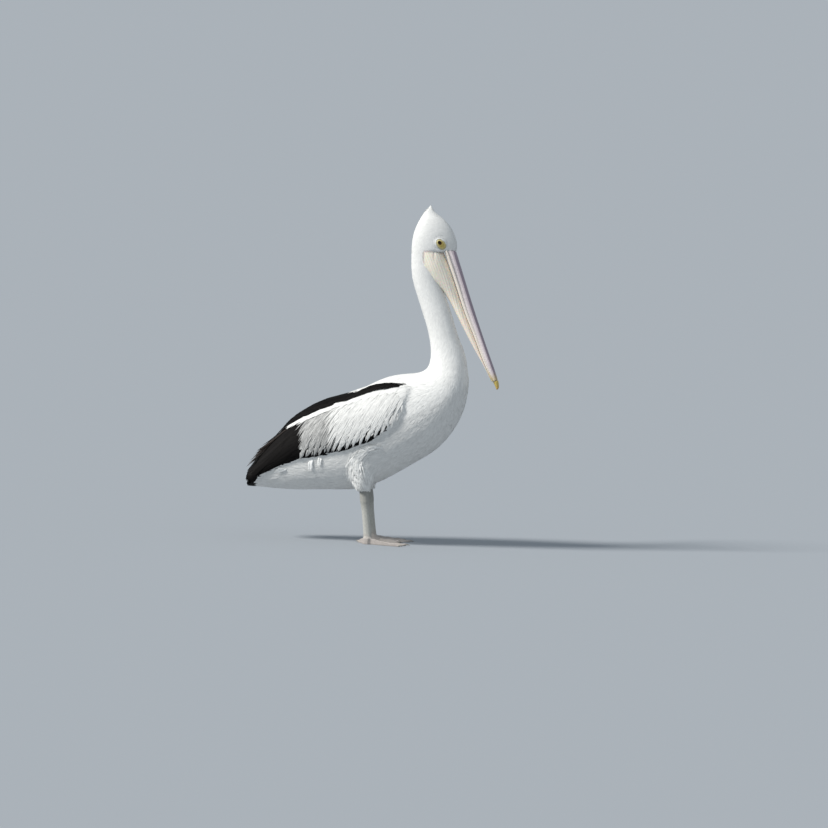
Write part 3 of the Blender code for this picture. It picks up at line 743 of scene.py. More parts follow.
lower = smooth_copy("bill_lower_half", "bill_lower", 3, tucked=True)
places = places_of(lower)
down, depth = bill_frame(places)
near, far, half = (np.interp(down, STATIONS, row) for row in girth_table(places))
half = np.maximum(half, 0.97 * np.interp(down, STATIONS, upper_girths[2]))
close_gape(places, near, far, half, near)
closing = GAPE_CLOSING * (far - near) * (1 - step_up(depth, near + 0.001, near + 0.4 * (far - near)))
move_in_depth(places, -closing)
move_to(lower, places)
# A grey along the lower half's edge at the gape: painted shade.
tones = mixed(CREAM, CREVICE_SHADE_GREY, LOWER_GAPE_SHADE * (1 - step_up(depth, near + 0.0002, near + 0.0012)))
write_tone(lower, mixed(tones, TIP_YELLOW, step_up(down / BILL_REACH, 0.86, 1.0) * 0.75))

# The nail is a thick hook of yellow horn that overhangs the tip of the lower half.
nail = smooth_copy("bill_hook", "bill_nail", 3)
down = bill_frame(places_of(nail))[0]
write_tone(nail, mixed(TIP_YELLOW, HOOK_AMBER, step_up(down, 0.41, 0.428)))

horn_finish, tree, horn_shader = toned("bill_horn", 0.36, 260.0, 0.20, Coat_Weight=0.15)
drawn_out = {"Vector": own_place(tree), "Rotation": (0.0, BILL_DROP, 0.0), "Scale": (18.0, 420.0, 420.0)}
along_bill = add_node(tree, "Mapping", drawn_out)["Vector"]
grain = add_node(tree, "TexNoise", {"Vector": along_bill, "Scale": 1.0, "Detail": 6.0})["Fac"]
bumped(tree, horn_shader, grain, 0.0005, 0.7)
finish_piece(upper, horn_finish, "bill_horn", "bill_upper")
finish_piece(lower, horn_finish, "bill_horn", "bill_lower")
finish_piece(nail, horn_finish, "nail_horn", "bill_nail")


# ---- The pouch ---------------------------------------------------------------------------------
# A bag of thin bare skin hangs between the rods of the lower jaw, slack at the throat and drawn in
# towards the tip. It creases lengthwise, and a fold parts its rear lobe from the rest.
POUCH_CREAM = np.array([0.95, 0.88, 0.75])
POUCH_ROSE = np.array([0.92, 0.78, 0.67])
CREASE_WAVES, CREASE_DEPTH = 900, 0.00032
FINE_WAVES, FINE_DEPTH = 2300, 0.00012
FOLD_HALF, FOLD_DEPTH, FOLD_SHADE = 0.0024, 0.0019, 0.18
POUCH_LOW, POUCH_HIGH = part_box("pouch")
LOBE_FOLD_X, LOBE_FOLD_LOW = point_in("pouch", 0.142, 0.895)
pouch = smooth_copy("pouch_skin", "pouch", 3, tucked=True)
add_modifier(pouch, "SMOOTH", factor=0.5, iterations=2)
places, normals = places_of(pouch), normals_of(pouch)
down, depth = bill_frame(places)
sideways = np.abs(normals[:, 1])
ripple = np.sin(depth * CREASE_WAVES + 2.2 * np.sin(down * 21) + places[:, 1] * 60)
fine = np.sin(depth * FINE_WAVES + 3.1 * np.sin(down * 37 + 1.0))
slack = 1 - step_up(down, 0.10, 0.34)
creases = sideways * (CREASE_DEPTH * ripple + FINE_DEPTH * fine) * (0.35 + 0.65 * slack)
fold_line = LOBE_FOLD_X + 0.0022 * np.sin((places[:, 2] - LOBE_FOLD_LOW) * 70)
fold_height = step_up(places[:, 2], LOBE_FOLD_LOW, POUCH_HIGH.z)
fold = bell(places[:, 0] - fold_line, FOLD_HALF) * fold_height * sideways
places += normals * (creases - FOLD_DEPTH * fold)[:, None]
move_to(pouch, places)
# The fold and the troughs of the creases are toned darker, and a grey runs along the pouch's rear edge and
# along its root under the face's feathers: painted shade.
tones = mixed(POUCH_CREAM, POUCH_ROSE, 0.5 * step_up(down, 0.02, 0.30))
tones = tones * (1 - FOLD_SHADE * fold - 0.03 * np.clip(-ripple, 0, 1) * sideways)[:, None]
rear_edge_shade = 1 - step_up(places[:, 0], POUCH_LOW.x + 0.0010, POUCH_LOW.x + 0.0055)
root_edge_shade = step_up(places[:, 2], POUCH_HIGH.z - 0.004, POUCH_HIGH.z - 0.001)
write_tone(pouch, mixed(tones, CREVICE_SHADE_GREY * 1.6, 0.7 * np.maximum(rear_edge_shade, root_edge_shade)))
pouch_finish, tree, pouch_shader = toned(
    "pouch_skin", 0.48, 150.0, 0.06, Subsurface_Weight=0.12, Subsurface_Scale=0.004
)
bumped(tree, pouch_shader, cells(tree, 260.0), 0.0003, 0.4)
finish_piece(pouch, pouch_finish, "pouch_skin", "pouch")


# ---- The claws ---------------------------------------------------------------------------------
# Short claws of dark grey horn, one at the tip of each toe, worn blunt where they meet the ground.
# The root of each is drawn back into the toe, and its back is a little arched.
CLAW_TUCK = 0.0035  # how far a claw's root is drawn back into the toe
CLAW_ARCH = 0.0008
CLAW_ROOT_GREY = np.array([0.42, 0.40, 0.36])
CLAW_TIP_STEP = np.array([0.10, 0.09, 0.085]) - 0.40  # from the root's colour to the tip's
claw_finish, tree, claw_shader = toned("claw_horn", 0.42, 500.0, 0.25, Coat_Weight=0.1)
claw_grain = add_node(tree, "TexNoise", {"Vector": own_place(tree), "Scale": 900.0})["Fac"]
bumped(tree, claw_shader, claw_grain, 0.0003, 0.5)
for side in SIDES:
    ankle, ends = toe_lines(side)
    for number, end in enumerate(ends, start=1):
        claw = smooth_copy(f"claw_horn_{side}_{number}", f"claw_{side}_{number}", 2)
        places = places_of(claw)
        reach = np.linalg.norm(places[:, :2] - ankle, axis=1)
        share = (reach - reach.min()) / (reach.max() - reach.min())
        heading = (end - ankle) / np.linalg.norm(end - ankle)
        places[:, :2] -= heading * (CLAW_TUCK * (1 - share) ** 2)[:, None]
        places[:, 2] += CLAW_ARCH * np.sin(math.pi * share)
        move_to(claw, places)
        write_tone(claw, np.clip(CLAW_ROOT_GREY + CLAW_TIP_STEP * share[:, None], 0.05, 1.0))
        finish_piece(claw, claw_finish, "claw_horn", f"claw_{side}_{number}")


# ---- The small feathers --------------------------------------------------------------------------
# Contour feathers cover the bird from the bill's root to the tail and the tops of the legs. Each is a
# thin vane with a raised shaft. It grows from the skin and lies back over the roots of the next ones.
in_edit_mode(body, (bpy.ops.uv.smart_project, {"angle_limit": math.radians(66), "island_margin": 0.002}))
body.data.uv_layers[0].name = "OFBake"

solid_corners, solid_faces, solid_owner = [], [], []
for number, node in enumerate(PLUMED):
    mesh = frame["nodes"][node].data
    start = len(solid_corners)
    solid_corners += [corner.co.copy() for corner in mesh.vertices]
    solid_faces += [[start + corner for corner in face.vertices] for face in mesh.polygons]
    solid_owner += [number] * len(mesh.polygons)
solids = BVHTree.FromPolygons(solid_corners, solid_faces)
DEEPEST = 0.022
STEP_OVER = 0.0002  # past a face that a line has met, before the next face is looked for
COAT_THINNEST, COAT_THICKEST = 0.0015, 0.016


def depth_under(place, normal):
    """How far under the outside of the solids a place on the skin lies, along its normal."""
    start, travelled, deepest = Vector(place), 0.0, 0.0
    for _ in range(5):
        hit, face_normal, _, gap = solids.ray_cast(start, normal, DEEPEST - travelled)
        if hit is None:
            break
        travelled += gap + STEP_OVER
        start = hit + normal * STEP_OVER
        if face_normal.dot(normal) > 0.25:
            deepest = travelled
    return deepest


skin_places, skin_normals = places_of(body), normals_of(body)
skin_owner = np.array([solid_owner[solids.find_nearest(Vector(place))[2]] for place in skin_places])
skin_depth = np.array([depth_under(p, Vector(n)) for p, n in zip(skin_places, skin_normals)])
skin_depth = np.clip(skin_depth, COAT_THINNEST, COAT_THICKEST)
ends = np.array([edge.vertices[:] for edge in body.data.edges])
degree = np.maximum(np.bincount(ends.ravel(), minlength=len(skin_depth)), 1)
for _ in range(8):
    around = np.bincount(ends[:, 0], skin_depth[ends[:, 1]], len(skin_depth))
    around += np.bincount(ends[:, 1], skin_depth[ends[:, 0]], len(skin_depth))
    skin_depth = 0.4 * skin_depth + 0.6 * around / degree
skin_faces = [list(face.vertices) for face in body.data.polygons]
skin_tree = BVHTree.FromPolygons(skin_places.tolist(), skin_faces)
face_first, face_third = np.array([(face[0], face[2]) for face in skin_faces]).T
skin_map = body.data.uv_layers["OFBake"].data
face_map = np.array([skin_map[face.loop_start].uv for face in body.data.polygons], np.float32)
body.data.calc_loop_triangles()
tri_corners = np.array([triangle.vertices[:] for triangle in body.data.loop_triangles])
tri_face = np.array([triangle.polygon_index for triangle in body.data.loop_triangles])
tri_first = tri_corners[:, 0]
tri_places = skin_places[tri_corners]
tri_middle = tri_places.mean(axis=1)
tri_normal = skin_normals[tri_first]
tri_owner = skin_owner[tri_first]
# Markings are read at the outside of the coat, over each place on the skin.
tri_outside = tri_middle + tri_normal * skin_depth[tri_first][:, None]
tri_dark = darkness(tri_outside)
tri_cross = np.cross(tri_places[:, 1] - tri_places[:, 0], tri_places[:, 2] - tri_places[:, 0])
tri_area = np.linalg.norm(tri_cross, axis=1) / 2
TRIES = 3.4  # roots tried for each one that would fill the skin, before those too close are dropped


def owned_by(*nodes):
    """Marks the skin's triangles that lie nearest to any of these solids."""
    return np.isin(tri_owner, [PLUMED.index(node) for node in nodes])


def scatter(where, spacing, seed):
    """Roots at random on part of the skin, no two closer than the spacing: places and skin faces."""
    chance = np.random.default_rng(seed)
    at_middle = spacing(tri_middle) if callable(spacing) else np.full(len(tri_area), spacing)
    weight = tri_area * where / at_middle**2
    wanted = int(weight.sum() * TRIES)
    picked = chance.choice(len(weight), wanted, p=weight / weight.sum())
    first, second = np.sqrt(chance.random(wanted)), chance.random(wanted)
    shares = np.stack([1 - first, first * (1 - second), first * second], axis=1)
    places = (tri_places[picked] * shares[:, :, None]).sum(axis=1)
    tree = KDTree(wanted)
    for n, place in enumerate(places):
        tree.insert(place, n)
    tree.balance()
    free, kept = np.ones(wanted, bool), []
    for n in range(wanted):
        if free[n]:
            kept.append(n)
            for _, other, _ in tree.find_range(places[n], at_middle[picked[n]]):
                free[other] = False
    return places[kept], tri_face[picked[kept]]


def unit(vectors):
    return vectors / np.maximum(np.linalg.norm(vectors, axis=1), 1e-9)[:, None]


def on_skin(places):
    """The nearest places on the skin, its smooth normals there and the faces they lie on."""
    found = [skin_tree.find_nearest(Vector(place)) for place in places]
    faces = np.array([hit[2] for hit in found])
    normals = skin_normals[face_first[faces]] + skin_normals[face_third[faces]]
    return np.array([hit[0] for hit in found]), unit(normals), faces


BESIDE = 0.30  # how far out the lines start that roots are found with
MISSED_AT = 0.85  # share of that at which a line which misses the skin turns to the nearest place on it


def cast_on(points, direction):
    """Where lines from points off the bird first meet the skin, and the faces of the skin there."""
    places, _, faces = on_skin(points + np.array(direction) * BESIDE * MISSED_AT)
    for n, point in enumerate(points):
        hit, _, face, _ = skin_tree.ray_cast(Vector(point), Vector(direction))
        if hit is not None:
            places[n], faces[n] = hit, face
    return places, faces


# Which way the feathers lie in side view, in degrees, and how long they are, in millimetres: 0 is
# forwards, 90 up, 180 back and 270 down. Each guide stands at a share of its solid's box, from back to
# front and from bottom to top.
LIE_GUIDES = {
    "head": (
        (1.00, 0.28, 118, 5), (0.92, 0.62, 132, 7), (0.72, 0.95, 146, 11), (0.45, 1.10, 150, 14),
        (0.90, 0.04, 176, 4), (0.70, 0.45, 172, 6), (0.45, 0.55, 200, 9), (0.15, 0.80, 236, 12),
        (0.02, 0.30, 266, 12), (0.35, 0.05, 255, 8),
    ),
    "neck_upper": ((0.45, 0.85, 274, 11), (0.50, 0.40, 281, 13)),
    "neck_middle": ((0.50, 0.70, 284, 15), (0.10, 0.10, 262, 18), (0.90, 0.10, 276, 16)),
    "neck_lower": ((0.95, 0.45, 264, 19), (0.05, 0.45, 222, 22), (0.50, 0.20, 250, 21)),
    "trunk": (
        (1.00, 0.75, 256, 22), (0.95, 0.45, 236, 24), (0.82, 0.25, 216, 25), (0.80, 0.62, 234, 24),
        (0.62, 0.42, 216, 26), (0.60, 0.08, 196, 26), (0.35, 0.10, 186, 30), (0.10, 0.10, 179, 34),
        (0.75, 0.95, 190, 27), (0.50, 0.90, 197, 32), (0.30, 0.66, 205, 36), (0.10, 0.40, 212, 38),
    ),
    "tail": ((0.50, 0.10, 177, 36), (0.50, 0.90, 218, 38)),
    "thigh_right": (
        (0.90, 0.98, 204, 30), (0.40, 0.85, 222, 28), (0.35, 0.45, 250, 24), (0.40, 0.05, 276, 16),
    ),
}
GUIDE_BLEND = 0.016
guide_places, guide_values = [], []
for node, guides in LIE_GUIDES.items():
    for share_x, share_z, degrees, length in guides:
        turn = math.radians(degrees)
        guide_places.append(point_in(node, share_x, share_z))
        guide_values.append((math.cos(turn), 0.0, math.sin(turn), length / 1000))


def guided(places):
    offsets = places[:, None, [0, 2]] - np.array(guide_places)[None]
    weights = 1 / ((offsets**2).sum(axis=2) + GUIDE_BLEND**2) ** 2
    return weights @ np.array(guide_values) / weights.sum(axis=1)[:, None]


def lie(places):
    """The way the plumage lies at each place, before it is laid flat on the skin."""
    return unit(guided(places)[:, :3])


def own_length(places):
    """The length of a feather at each place. Round the eyes they are shortest."""
    return guided(places)[:, 3] * (0.55 + 0.45 * step_up(from_eye(places), 0.014, 0.045))


def feather_pattern(name, edges, cuts):
    """One feather as it is modelled: a cone of a few edges, cut across where the vane is to bend."""
    deselect()
    bpy.ops.mesh.primitive_cone_add(vertices=edges, radius1=1.0, radius2=0.0, depth=1.0, location=(0, 0, 0.5))
    pattern = bpy.context.object
    pattern.name = name
    bpy.ops.object.transform_apply(location=True)
    bpy.ops.object.mode_set(mode="EDIT")
    for cut in cuts:
        bpy.ops.mesh.select_all(action="SELECT")
        bpy.ops.mesh.bisect(plane_co=(0, 0, cut), plane_no=(0, 0, 1))
    bpy.ops.object.mode_set(mode="OBJECT")
    corners = places_of(pattern)
    corners[:, :2] /= np.maximum(1.0 - corners[:, 2:], 0.000001)
    faces = [tuple(face.vertices) for face in pattern.data.polygons]
    bpy.data.objects.remove(pattern, do_unlink=True)
    return corners, faces


def lancet(share):
    """Width of a long pointed feather along its length, widest a third of the way along."""
    return min(0.45 + 1.8 * share, 1.0) * min((1 - share) / 0.62, 1.0) ** 0.8


def oval(share):
    """Width of a body feather along its length, which ends in a soft point."""
    return min(0.55 + 1.2 * share, 1.0) * min((1 - share) / 0.38, 1.0) ** 0.7


def rounded(share):
    """Width of a broad feather with a round end."""
    return min(0.5 + 1.4 * share, 1.0) * math.sqrt(max(1 - share**7, 0.0))


PATCH = 0.003  # width of one feather's patch on the skin's unwrap
SIDE_SHARP = math.radians(75)
PLAIN_FEATHER = {
    "lift": 1.0,  # share of the coat's depth at which it lies
    "root": 0.66,  # share of that at its root
    "proud": 0.0,  # how far over the rest its end lies
    "settle": 0.0,  # how much it sinks back towards its tip
    "curl": 0.0,  # how far its tip turns up
    "yaw": 0.10,  # how much its heading varies
    "turn": 0.0,  # its own turn from the lie
    "twist": 0.07,  # how much it varies about its shaft
    "outline": oval,
    "thickness": 0.10,  # as a share of its width
    "free": 2.0,  # share of its length past which it no longer follows the skin
    "aim": None,  # the place that its free end runs straight to, or straight on where there is none
    # A darker root stands partly for the grey down at a feather's base and partly for painted shade under the
    # feathers that overlap it.
    "fade": 0.07,  # how much darker its root is
    "variety": (0.95, 1.04),  # how light or dark one is beside the next
}


def lay_feathers(name, pattern, roots, headings, size, tones, coat, seed, **shape):
    """Lays one copy of a feather pattern from each root over the skin and joins them to one piece.

    size holds lengths and widths, and coat the finish and a slot name, which is not used. shape holds what
    isn't plain.
    """
    shape = {**PLAIN_FEATHER, **shape}
    chance = np.random.default_rng(seed)
    corners, faces = pattern
    starts, root_faces = roots
    finish, slot = coat
    count = len(starts)
    lengths, widths = (np.broadcast_to(value, count) for value in size)
    lift, proud, curl = (np.broadcast_to(shape[key], count) for key in ("lift", "proud", "curl"))
    depth = skin_depth[face_first[root_faces]] * (lift * chance.uniform(0.95, 1.04, count))
    yaw = chance.normal(0.0, shape["yaw"], count) + shape["turn"]
    twist = chance.normal(0.0, shape["twist"], count)
    stations = np.unique(np.round(corners[:, 2], 5))
    here, up, _ = on_skin(starts)
    lines, ups, aheads = [here], [up], []
    for station, step in zip(stations, np.diff(stations)):
        if station < shape["free"]:
            ahead = headings(here)
            ahead = unit(ahead - up * (ahead * up).sum(axis=1)[:, None])
            ahead = ahead * np.cos(yaw)[:, None] + np.cross(up, ahead) * np.sin(yaw)[:, None]
            aheads.append(ahead)
            here, up, _ = on_skin(here + ahead * (lengths * step)[:, None])
        elif shape["aim"] is None:
            aheads.append(aheads[-1])
            here = here + aheads[-1] * (lengths * step)[:, None]
        else:
            aheads[-1] = unit(shape["aim"] - here)
            aheads.append(aheads[-1])
            here = here + (shape["aim"] - here) * step / (1 - station)
        lines.append(here)
        ups.append(up)
    aheads.append(aheads[-1])
    made = np.empty((count, len(corners), 3))
    vane = np.empty((count, len(corners), 3))
    for n, (across, high, share) in enumerate(corners):
        station = int(np.searchsorted(stations, round(share, 5)))
        up, ahead = ups[station], aheads[station]
        turned_side = np.cross(up, ahead) * np.cos(twist)[:, None] + up * np.sin(twist)[:, None]
        turned_up = np.cross(ahead, turned_side)
        half = widths / 2 * (shape["outline"](share) if share < 0.999 else 0.0)
        rise = depth * (shape["root"] + (1 - shape["root"]) * share**0.65)
        rise = rise * (1 - shape["settle"] * share) + proud * min(share * 4, 1.0) + curl * share**3
        made[:, n] = lines[station] + turned_side * (half * across)[:, None]
        made[:, n] += turned_up * (half * shape["thickness"] * high)[:, None] + up * rise[:, None]
        vane[:, n] = np.stack([np.full(count, across), lengths * share, widths], axis=1)
    mesh = bpy.data.meshes.new(name)
    flat_faces = np.concatenate([np.array(face) for face in faces])
    all_loops = (flat_faces[None] + np.arange(count)[:, None] * len(corners)).ravel()
    all_sizes = np.tile([len(face) for face in faces], count)
    mesh.vertices.add(count * len(corners))
    mesh.loops.add(len(all_loops))
    mesh.polygons.add(len(all_sizes))
    mesh.vertices.foreach_set("co", made.astype(np.float32).ravel())
    mesh.loops.foreach_set("vertex_index", all_loops.astype(np.int32))
    mesh.polygons.foreach_set("loop_start", (np.cumsum(all_sizes) - all_sizes).astype(np.int32))
    mesh.update(calc_edges=True)
    mesh.validate()
    # Each feather keeps to a small patch at its root's place on the skin's unwrap.
    layer = mesh.uv_layers.new(name="OFBake")
    local = corners[flat_faces]
    local_map = np.stack([local[:, 0] * PATCH / 2, (local[:, 2] - 0.5) * PATCH], axis=1)
    maps = np.clip(face_map[root_faces][:, None] + local_map[None], 0.0, 1.0)
    layer.data.foreach_set("uv", maps.astype(np.float32).ravel())
    piece = bpy.data.objects.new(name, mesh)
    bpy.context.scene.collection.objects.link(piece)
    # Roots toned darker: partly grey down, partly painted shade.
    shade = 1 - shape["fade"] * (1 - corners[:, 2]) ** 1.5
    variety = chance.uniform(*shape["variety"], count)
    colours = np.broadcast_to(tones, (count, 3))[:, None, :] * shade[None, :, None] * variety[:, None, None]
    write_tone(piece, np.clip(colours.reshape(-1, 3), 0.0, 0.95))
    write_layer(mesh, "vane", "FLOAT_VECTOR", "vector", vane)
    mesh.materials.append(finish)
    select_only(piece)
    bpy.ops.object.shade_smooth_by_angle(angle=SIDE_SHARP)
    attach(piece, "root")


BARB_PITCH = 0.0007
BARB_SLANT = 0.0022
BARB_HEIGHT = 0.00005


def feather_finish(name, roughness, **sockets):
    """Keratin vanes: barbs slant from the shaft to both edges, and their tone varies a little."""
    material, tree, shader = toned(name, roughness, 90.0, 0.05, **sockets)
    vane = add_node(tree, "SeparateXYZ", {0: read_layer(tree, "vane", "Vector")})
    slanted = math_node(tree, "MULTIPLY", math_node(tree, "ABSOLUTE", vane["X"]), -BARB_SLANT)
    phase = math_node(tree, "MULTIPLY", math_node(tree, "ADD", slanted, vane["Y"]), 2 * math.pi / BARB_PITCH)
    bumped(tree, shader, math_node(tree, "SINE", phase), BARB_HEIGHT, 0.3)
    return material, name


WHITE_COAT = feather_finish("white_feather", 0.75, Specular_IOR_Level=0.3, Sheen_Weight=0.1)
BLACK_COAT = feather_finish("black_feather", 0.6, Specular_IOR_Level=0.06)
TUFT = feather_pattern("tuft", 3, (0.5,))
CONTOUR = feather_pattern("contour", 3, (0.35, 0.72))
PAINTED_UNDERSIDE_SHADE = 0.90  # white feathers under the body are toned darker than those on top: painted shade
DOWN_GAP = 0.30  # the down's spacing as a share of its length


def outside(roots):
    """The places over feathers' roots at the outside of the coat."""
    places, faces = roots
    corner = face_first[faces]
    return places + skin_normals[corner] * skin_depth[corner][:, None]


def marking(roots):
    """Each feather's colour by the bird's markings."""
    return mixed(WHITE, SOOT, darkness(outside(roots)))


def lay_down(feathers, where, seed):
    """The close white down under some outer feathers, which fills what they leave open."""
    roots = scatter(where, lambda places: own_length(places) * DOWN_GAP, seed)
    lengths = own_length(roots[0]) * 0.9
    lay_feathers(
        feathers.replace("feathers", "down"), TUFT, roots, lie, (lengths, lengths * 0.62),
        marking(roots) * 0.98, WHITE_COAT, seed, lift=0.87, root=0.94, yaw=0.08, twist=0.03,
    )


CREST_LOW, CREST_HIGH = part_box("crest")
CREST_PEAK = np.array([CREST_LOW.x + 0.47 * (CREST_HIGH.x - CREST_LOW.x), 0.0, CREST_HIGH.z + 0.002])
near_peak = np.linalg.norm(tri_middle - CREST_PEAK, axis=1)
PEAK_CLEAR = 0.012  # the head's feathers leave this much round the crest's peak to the crest's own
FIRST_ROW_SINK = 0.6
HEAD_TO_BREAST = [  # piece, its solids, pattern, spacing and width as shares of its length, root's height
    ("head_feathers", ("head", "crest"), TUFT, 0.160, 0.36, 0.94),
    ("neck_feathers", ("neck_upper",), TUFT, 0.132, 0.31, 0.93),
    ("throat_feathers", ("neck_middle",), TUFT, 0.128, 0.30, 0.91),
    ("breast_feathers", ("neck_lower",), CONTOUR, 0.126, 0.29, 0.89),
]
for seed, (name, nodes, pattern, gap, breadth, root) in enumerate(HEAD_TO_BREAST, start=11):
    where = owned_by(*nodes) & (bare_share(tri_middle) > 0.97) & (near_peak > PEAK_CLEAR)
    lay_down(name, where, seed + 50)
    roots = scatter(where, lambda places: own_length(places) * gap, seed)
    lengths = own_length(roots[0])
    # The first row beside the bill and the pouch grows from right down on the skin.
    first_row = 1 - step_up(roots[0][:, 2], HEAD_LOW.z + 0.001, HEAD_LOW.z + 0.010)
    root = root - FIRST_ROW_SINK * first_row * (roots[0][:, 2] > HEAD_LOW.z - 0.006)
    lay_feathers(
        name, pattern, roots, lie, (lengths, lengths * breadth), marking(roots), WHITE_COAT, seed,
        twist=0.04, root=root,
    )

over_wing_edge = tri_outside[:, 2] > height_of(tri_outside, WING_EDGE) + 0.001
on_back = (tri_normal[:, 2] > 0.15) & over_wing_edge
BELLY_AND_BACK = [  # piece, its part of the trunk, width as a share of its length, colour; the belly's is toned darker as painted shade
    ("belly_feathers", ~on_back, 0.27, WHITE * PAINTED_UNDERSIDE_SHADE),
    ("mantle_feathers", on_back, 0.29, WHITE),
]
for seed, (name, part, breadth, white) in enumerate(BELLY_AND_BACK, start=21):
    where = owned_by("trunk", "tail") & part & (tri_dark < 0.5)
    lay_down(name, where & (tri_middle[:, 0] > TAIL_BLACK + 0.04), seed + 50)
    where = where & (tri_middle[:, 0] > TAIL_BLACK + 0.008)
    roots = scatter(where, lambda places: own_length(places) * 0.128, seed)
    # None reaches far over the black behind it, on the back or under the tail.
    end = np.full(len(roots[0]), TAIL_BLACK)
    if name == "mantle_feathers":
        end = np.where(roots[0][:, 0] > MANTLE_END, MANTLE_END - 0.006, TAIL_BLACK)
    lengths = np.clip(own_length(roots[0]), 0.006, np.maximum(roots[0][:, 0] - end - 0.001, 0.006))
    lay_feathers(
        name, CONTOUR, roots, lie, (lengths, lengths * breadth), white, WHITE_COAT, seed, yaw=0.13,
        twist=0.06, root=0.86,
    )

# A thick swirl of long white feathers sweeps back along the top of each thigh and down to the bare leg.
SWIRL = ((1.27, 1.30), (0.95, 1.31), (0.60, 1.22), (0.27, 1.03), (0.20, 0.72), (0.38, 0.32), (0.60, 0.02))
SWIRL_HALF = (0.007, 0.013, 0.020, 0.026, 0.030, 0.026, 0.020)
SWIRL_BLEND = 0.006
SWIRL_GAP, SWIRL_WIDTH = 0.0031, 0.0050
SWIRL_SHORTEST, SWIRL_EXTRA = 0.021, 0.013  # a feather's length at the swirl's edge, and what its middle adds


def read_swirl(side, places):
    """Reads places against a thigh's swirl: their distance from it, its half width and its heading."""
    line = np.array(points_in("thigh_" + side, *SWIRL))
    flat = places[:, [0, 2]]
    nearest, half, total = np.full(len(flat), 1.0), np.zeros(len(flat)), np.zeros((len(flat), 2))
    for n in range(len(line) - 1):
        run = line[n + 1] - line[n]
        share = np.clip(((flat - line[n]) @ run) / (run @ run), 0.0, 1.0)
        off = np.linalg.norm(flat - line[n] - share[:, None] * run, axis=1)
        half = np.where(off < nearest, SWIRL_HALF[n] + share * (SWIRL_HALF[n + 1] - SWIRL_HALF[n]), half)
        nearest = np.minimum(off, nearest)
        total += (run / np.linalg.norm(run))[None] / (off[:, None] + SWIRL_BLEND) ** 3
    return nearest, half, unit(np.insert(total, 1, 0.0, axis=1))


for seed, (side, hand) in enumerate(SIDES.items(), start=31):
    off, half, _ = read_swirl(side, tri_middle)
    facing = tri_normal[:, 1] * hand > 0.1
    where = owned_by("thigh_" + side) | (owned_by("trunk") & facing & (off < half))
    roots = scatter(where & (tri_middle[:, 2] > FEATHER_END), SWIRL_GAP, seed)
    chance = np.random.default_rng(seed + 100)
    off, half, _ = read_swirl(side, roots[0])
    full = 1 - step_up(off / half, 0.3, 1.1)
    lengths = (SWIRL_SHORTEST + SWIRL_EXTRA * full) * chance.uniform(0.75, 1.15, len(roots[0]))
    lengths = np.clip(lengths, 0.006, np.maximum(roots[0][:, 2] - FEATHER_END + 0.004, 0.006))
    lay_feathers(
        "thigh_feathers_" + side, CONTOUR, roots, lambda places: read_swirl(side, places)[2],
        (lengths, SWIRL_WIDTH), WHITE, WHITE_COAT, seed, yaw=0.15, twist=0.20, outline=lancet,
        proud=0.0006 + 0.0064 * full * step_up(lengths, 0.010, 0.03), variety=(1.0, 1.10),
    )


# ---- The crest -----------------------------------------------------------------------------------
# Long fine feathers on the hind crown stand up together to one peak when the bird raises them.
# They are keratin vanes like the rest, rooted in the skin of the crown, and their tips meet.
CREST_REACH, CREST_GAP, CREST_WIDTH = 0.034, 0.0019, 0.0036
on_crest = (near_peak < CREST_REACH) & (tri_middle[:, 2] > HEAD_HIGH.z - 0.030)
roots = scatter(on_crest, CREST_GAP, 41)
reach = np.linalg.norm(roots[0] - CREST_PEAK, axis=1)
lay_feathers(
    "crest_feathers", CONTOUR, roots, lambda places: unit(CREST_PEAK - places),
    (np.maximum(reach, 0.003), CREST_WIDTH), marking(roots), WHITE_COAT, 41, yaw=0.02, twist=0.10, lift=0.95,
    outline=lancet, free=0.3, root=0.3, settle=0.9, aim=CREST_PEAK,
)


# ---- The folded wings ----------------------------------------------------------------------------
# Under the lower edge of each folded wing show the stiff black flight feathers. Over them hang long
# white coverts in two groups, then the black scapulars, which meet in a point at the shoulder. All are
# keratin vanes, rooted in the wing's skin.
COVERT = feather_pattern("covert", 3, (0.2, 0.5, 0.8))
VANE = feather_pattern("vane", 4, (0.12, 0.35, 0.6, 0.8, 0.93, 0.98))
BAND_BENDS = [point_in("scapulars_right", share, 0)[0] for share in (0.12, 0.58, 0.80, 1.00)]
BAND_WAYS = (207, 201, 193, 188)
GROUP_BREAK = point_in("wing_right", 0.39, 0)[0]
STRIP_END = point_in("scapulars_right", 0.005, 0)[0]
STRIP_INNER = 0.3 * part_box("wing_left")[1].y
STRIP_DEPTH, STRIP_TAPER = 0.011, 0.100
REAR_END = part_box("flight_feathers_left")[0].x
LOCK_STEP = 0.020  # the covert tips cling together in locks this far apart along the wing's edge
LOCK_WANDER = 0.16  # share of that step by which a lock may stand off its place
FRINGE, FRINGE_WANDER = 0.010, 0.005  # height of a lock's tip over the wing's edge, and what that varies by
NOTCH_RISE, NOTCH_POWER = 0.092, 1.1  # how steeply the tips rise from a lock's middle to its sides
FRONT_RISE = 0.008  # what the fringe gains at the wing's front
LOCK_TURN = 0.16  # the most that a covert turns towards its lock, in radians
COVERT_WAY = 246
COVERT_GROUPS = [  # group, spacing, greatest length, width, tones, how proud it lies; the rear group's low tones are painted shade
    ("rear", 0.0048, 0.095, 0.0064, (0.36, 0.68), 0.0004),
    ("front", 0.0043, 0.090, 0.0072, (0.80, 1.0), 0.0022),
]
FLIGHT_ROWS = [  # row, ends of the roots' line and of the tips' line, count, tones, how proud they lie
    ("upper", (0.90, 0.86), (0.86, 0.70), (0.22, 0.42), (0.00, 0.04), 11, (1.7, 1.2), (0.0040, 0.0020)),
    ("lower", (0.93, 0.68), (0.90, 0.44), (0.05, 0.19), (0.06, 0.03), 9, (1.3, 1.0), (0.0018, 0.0004)),
]
LOOSE_COUNT = 15
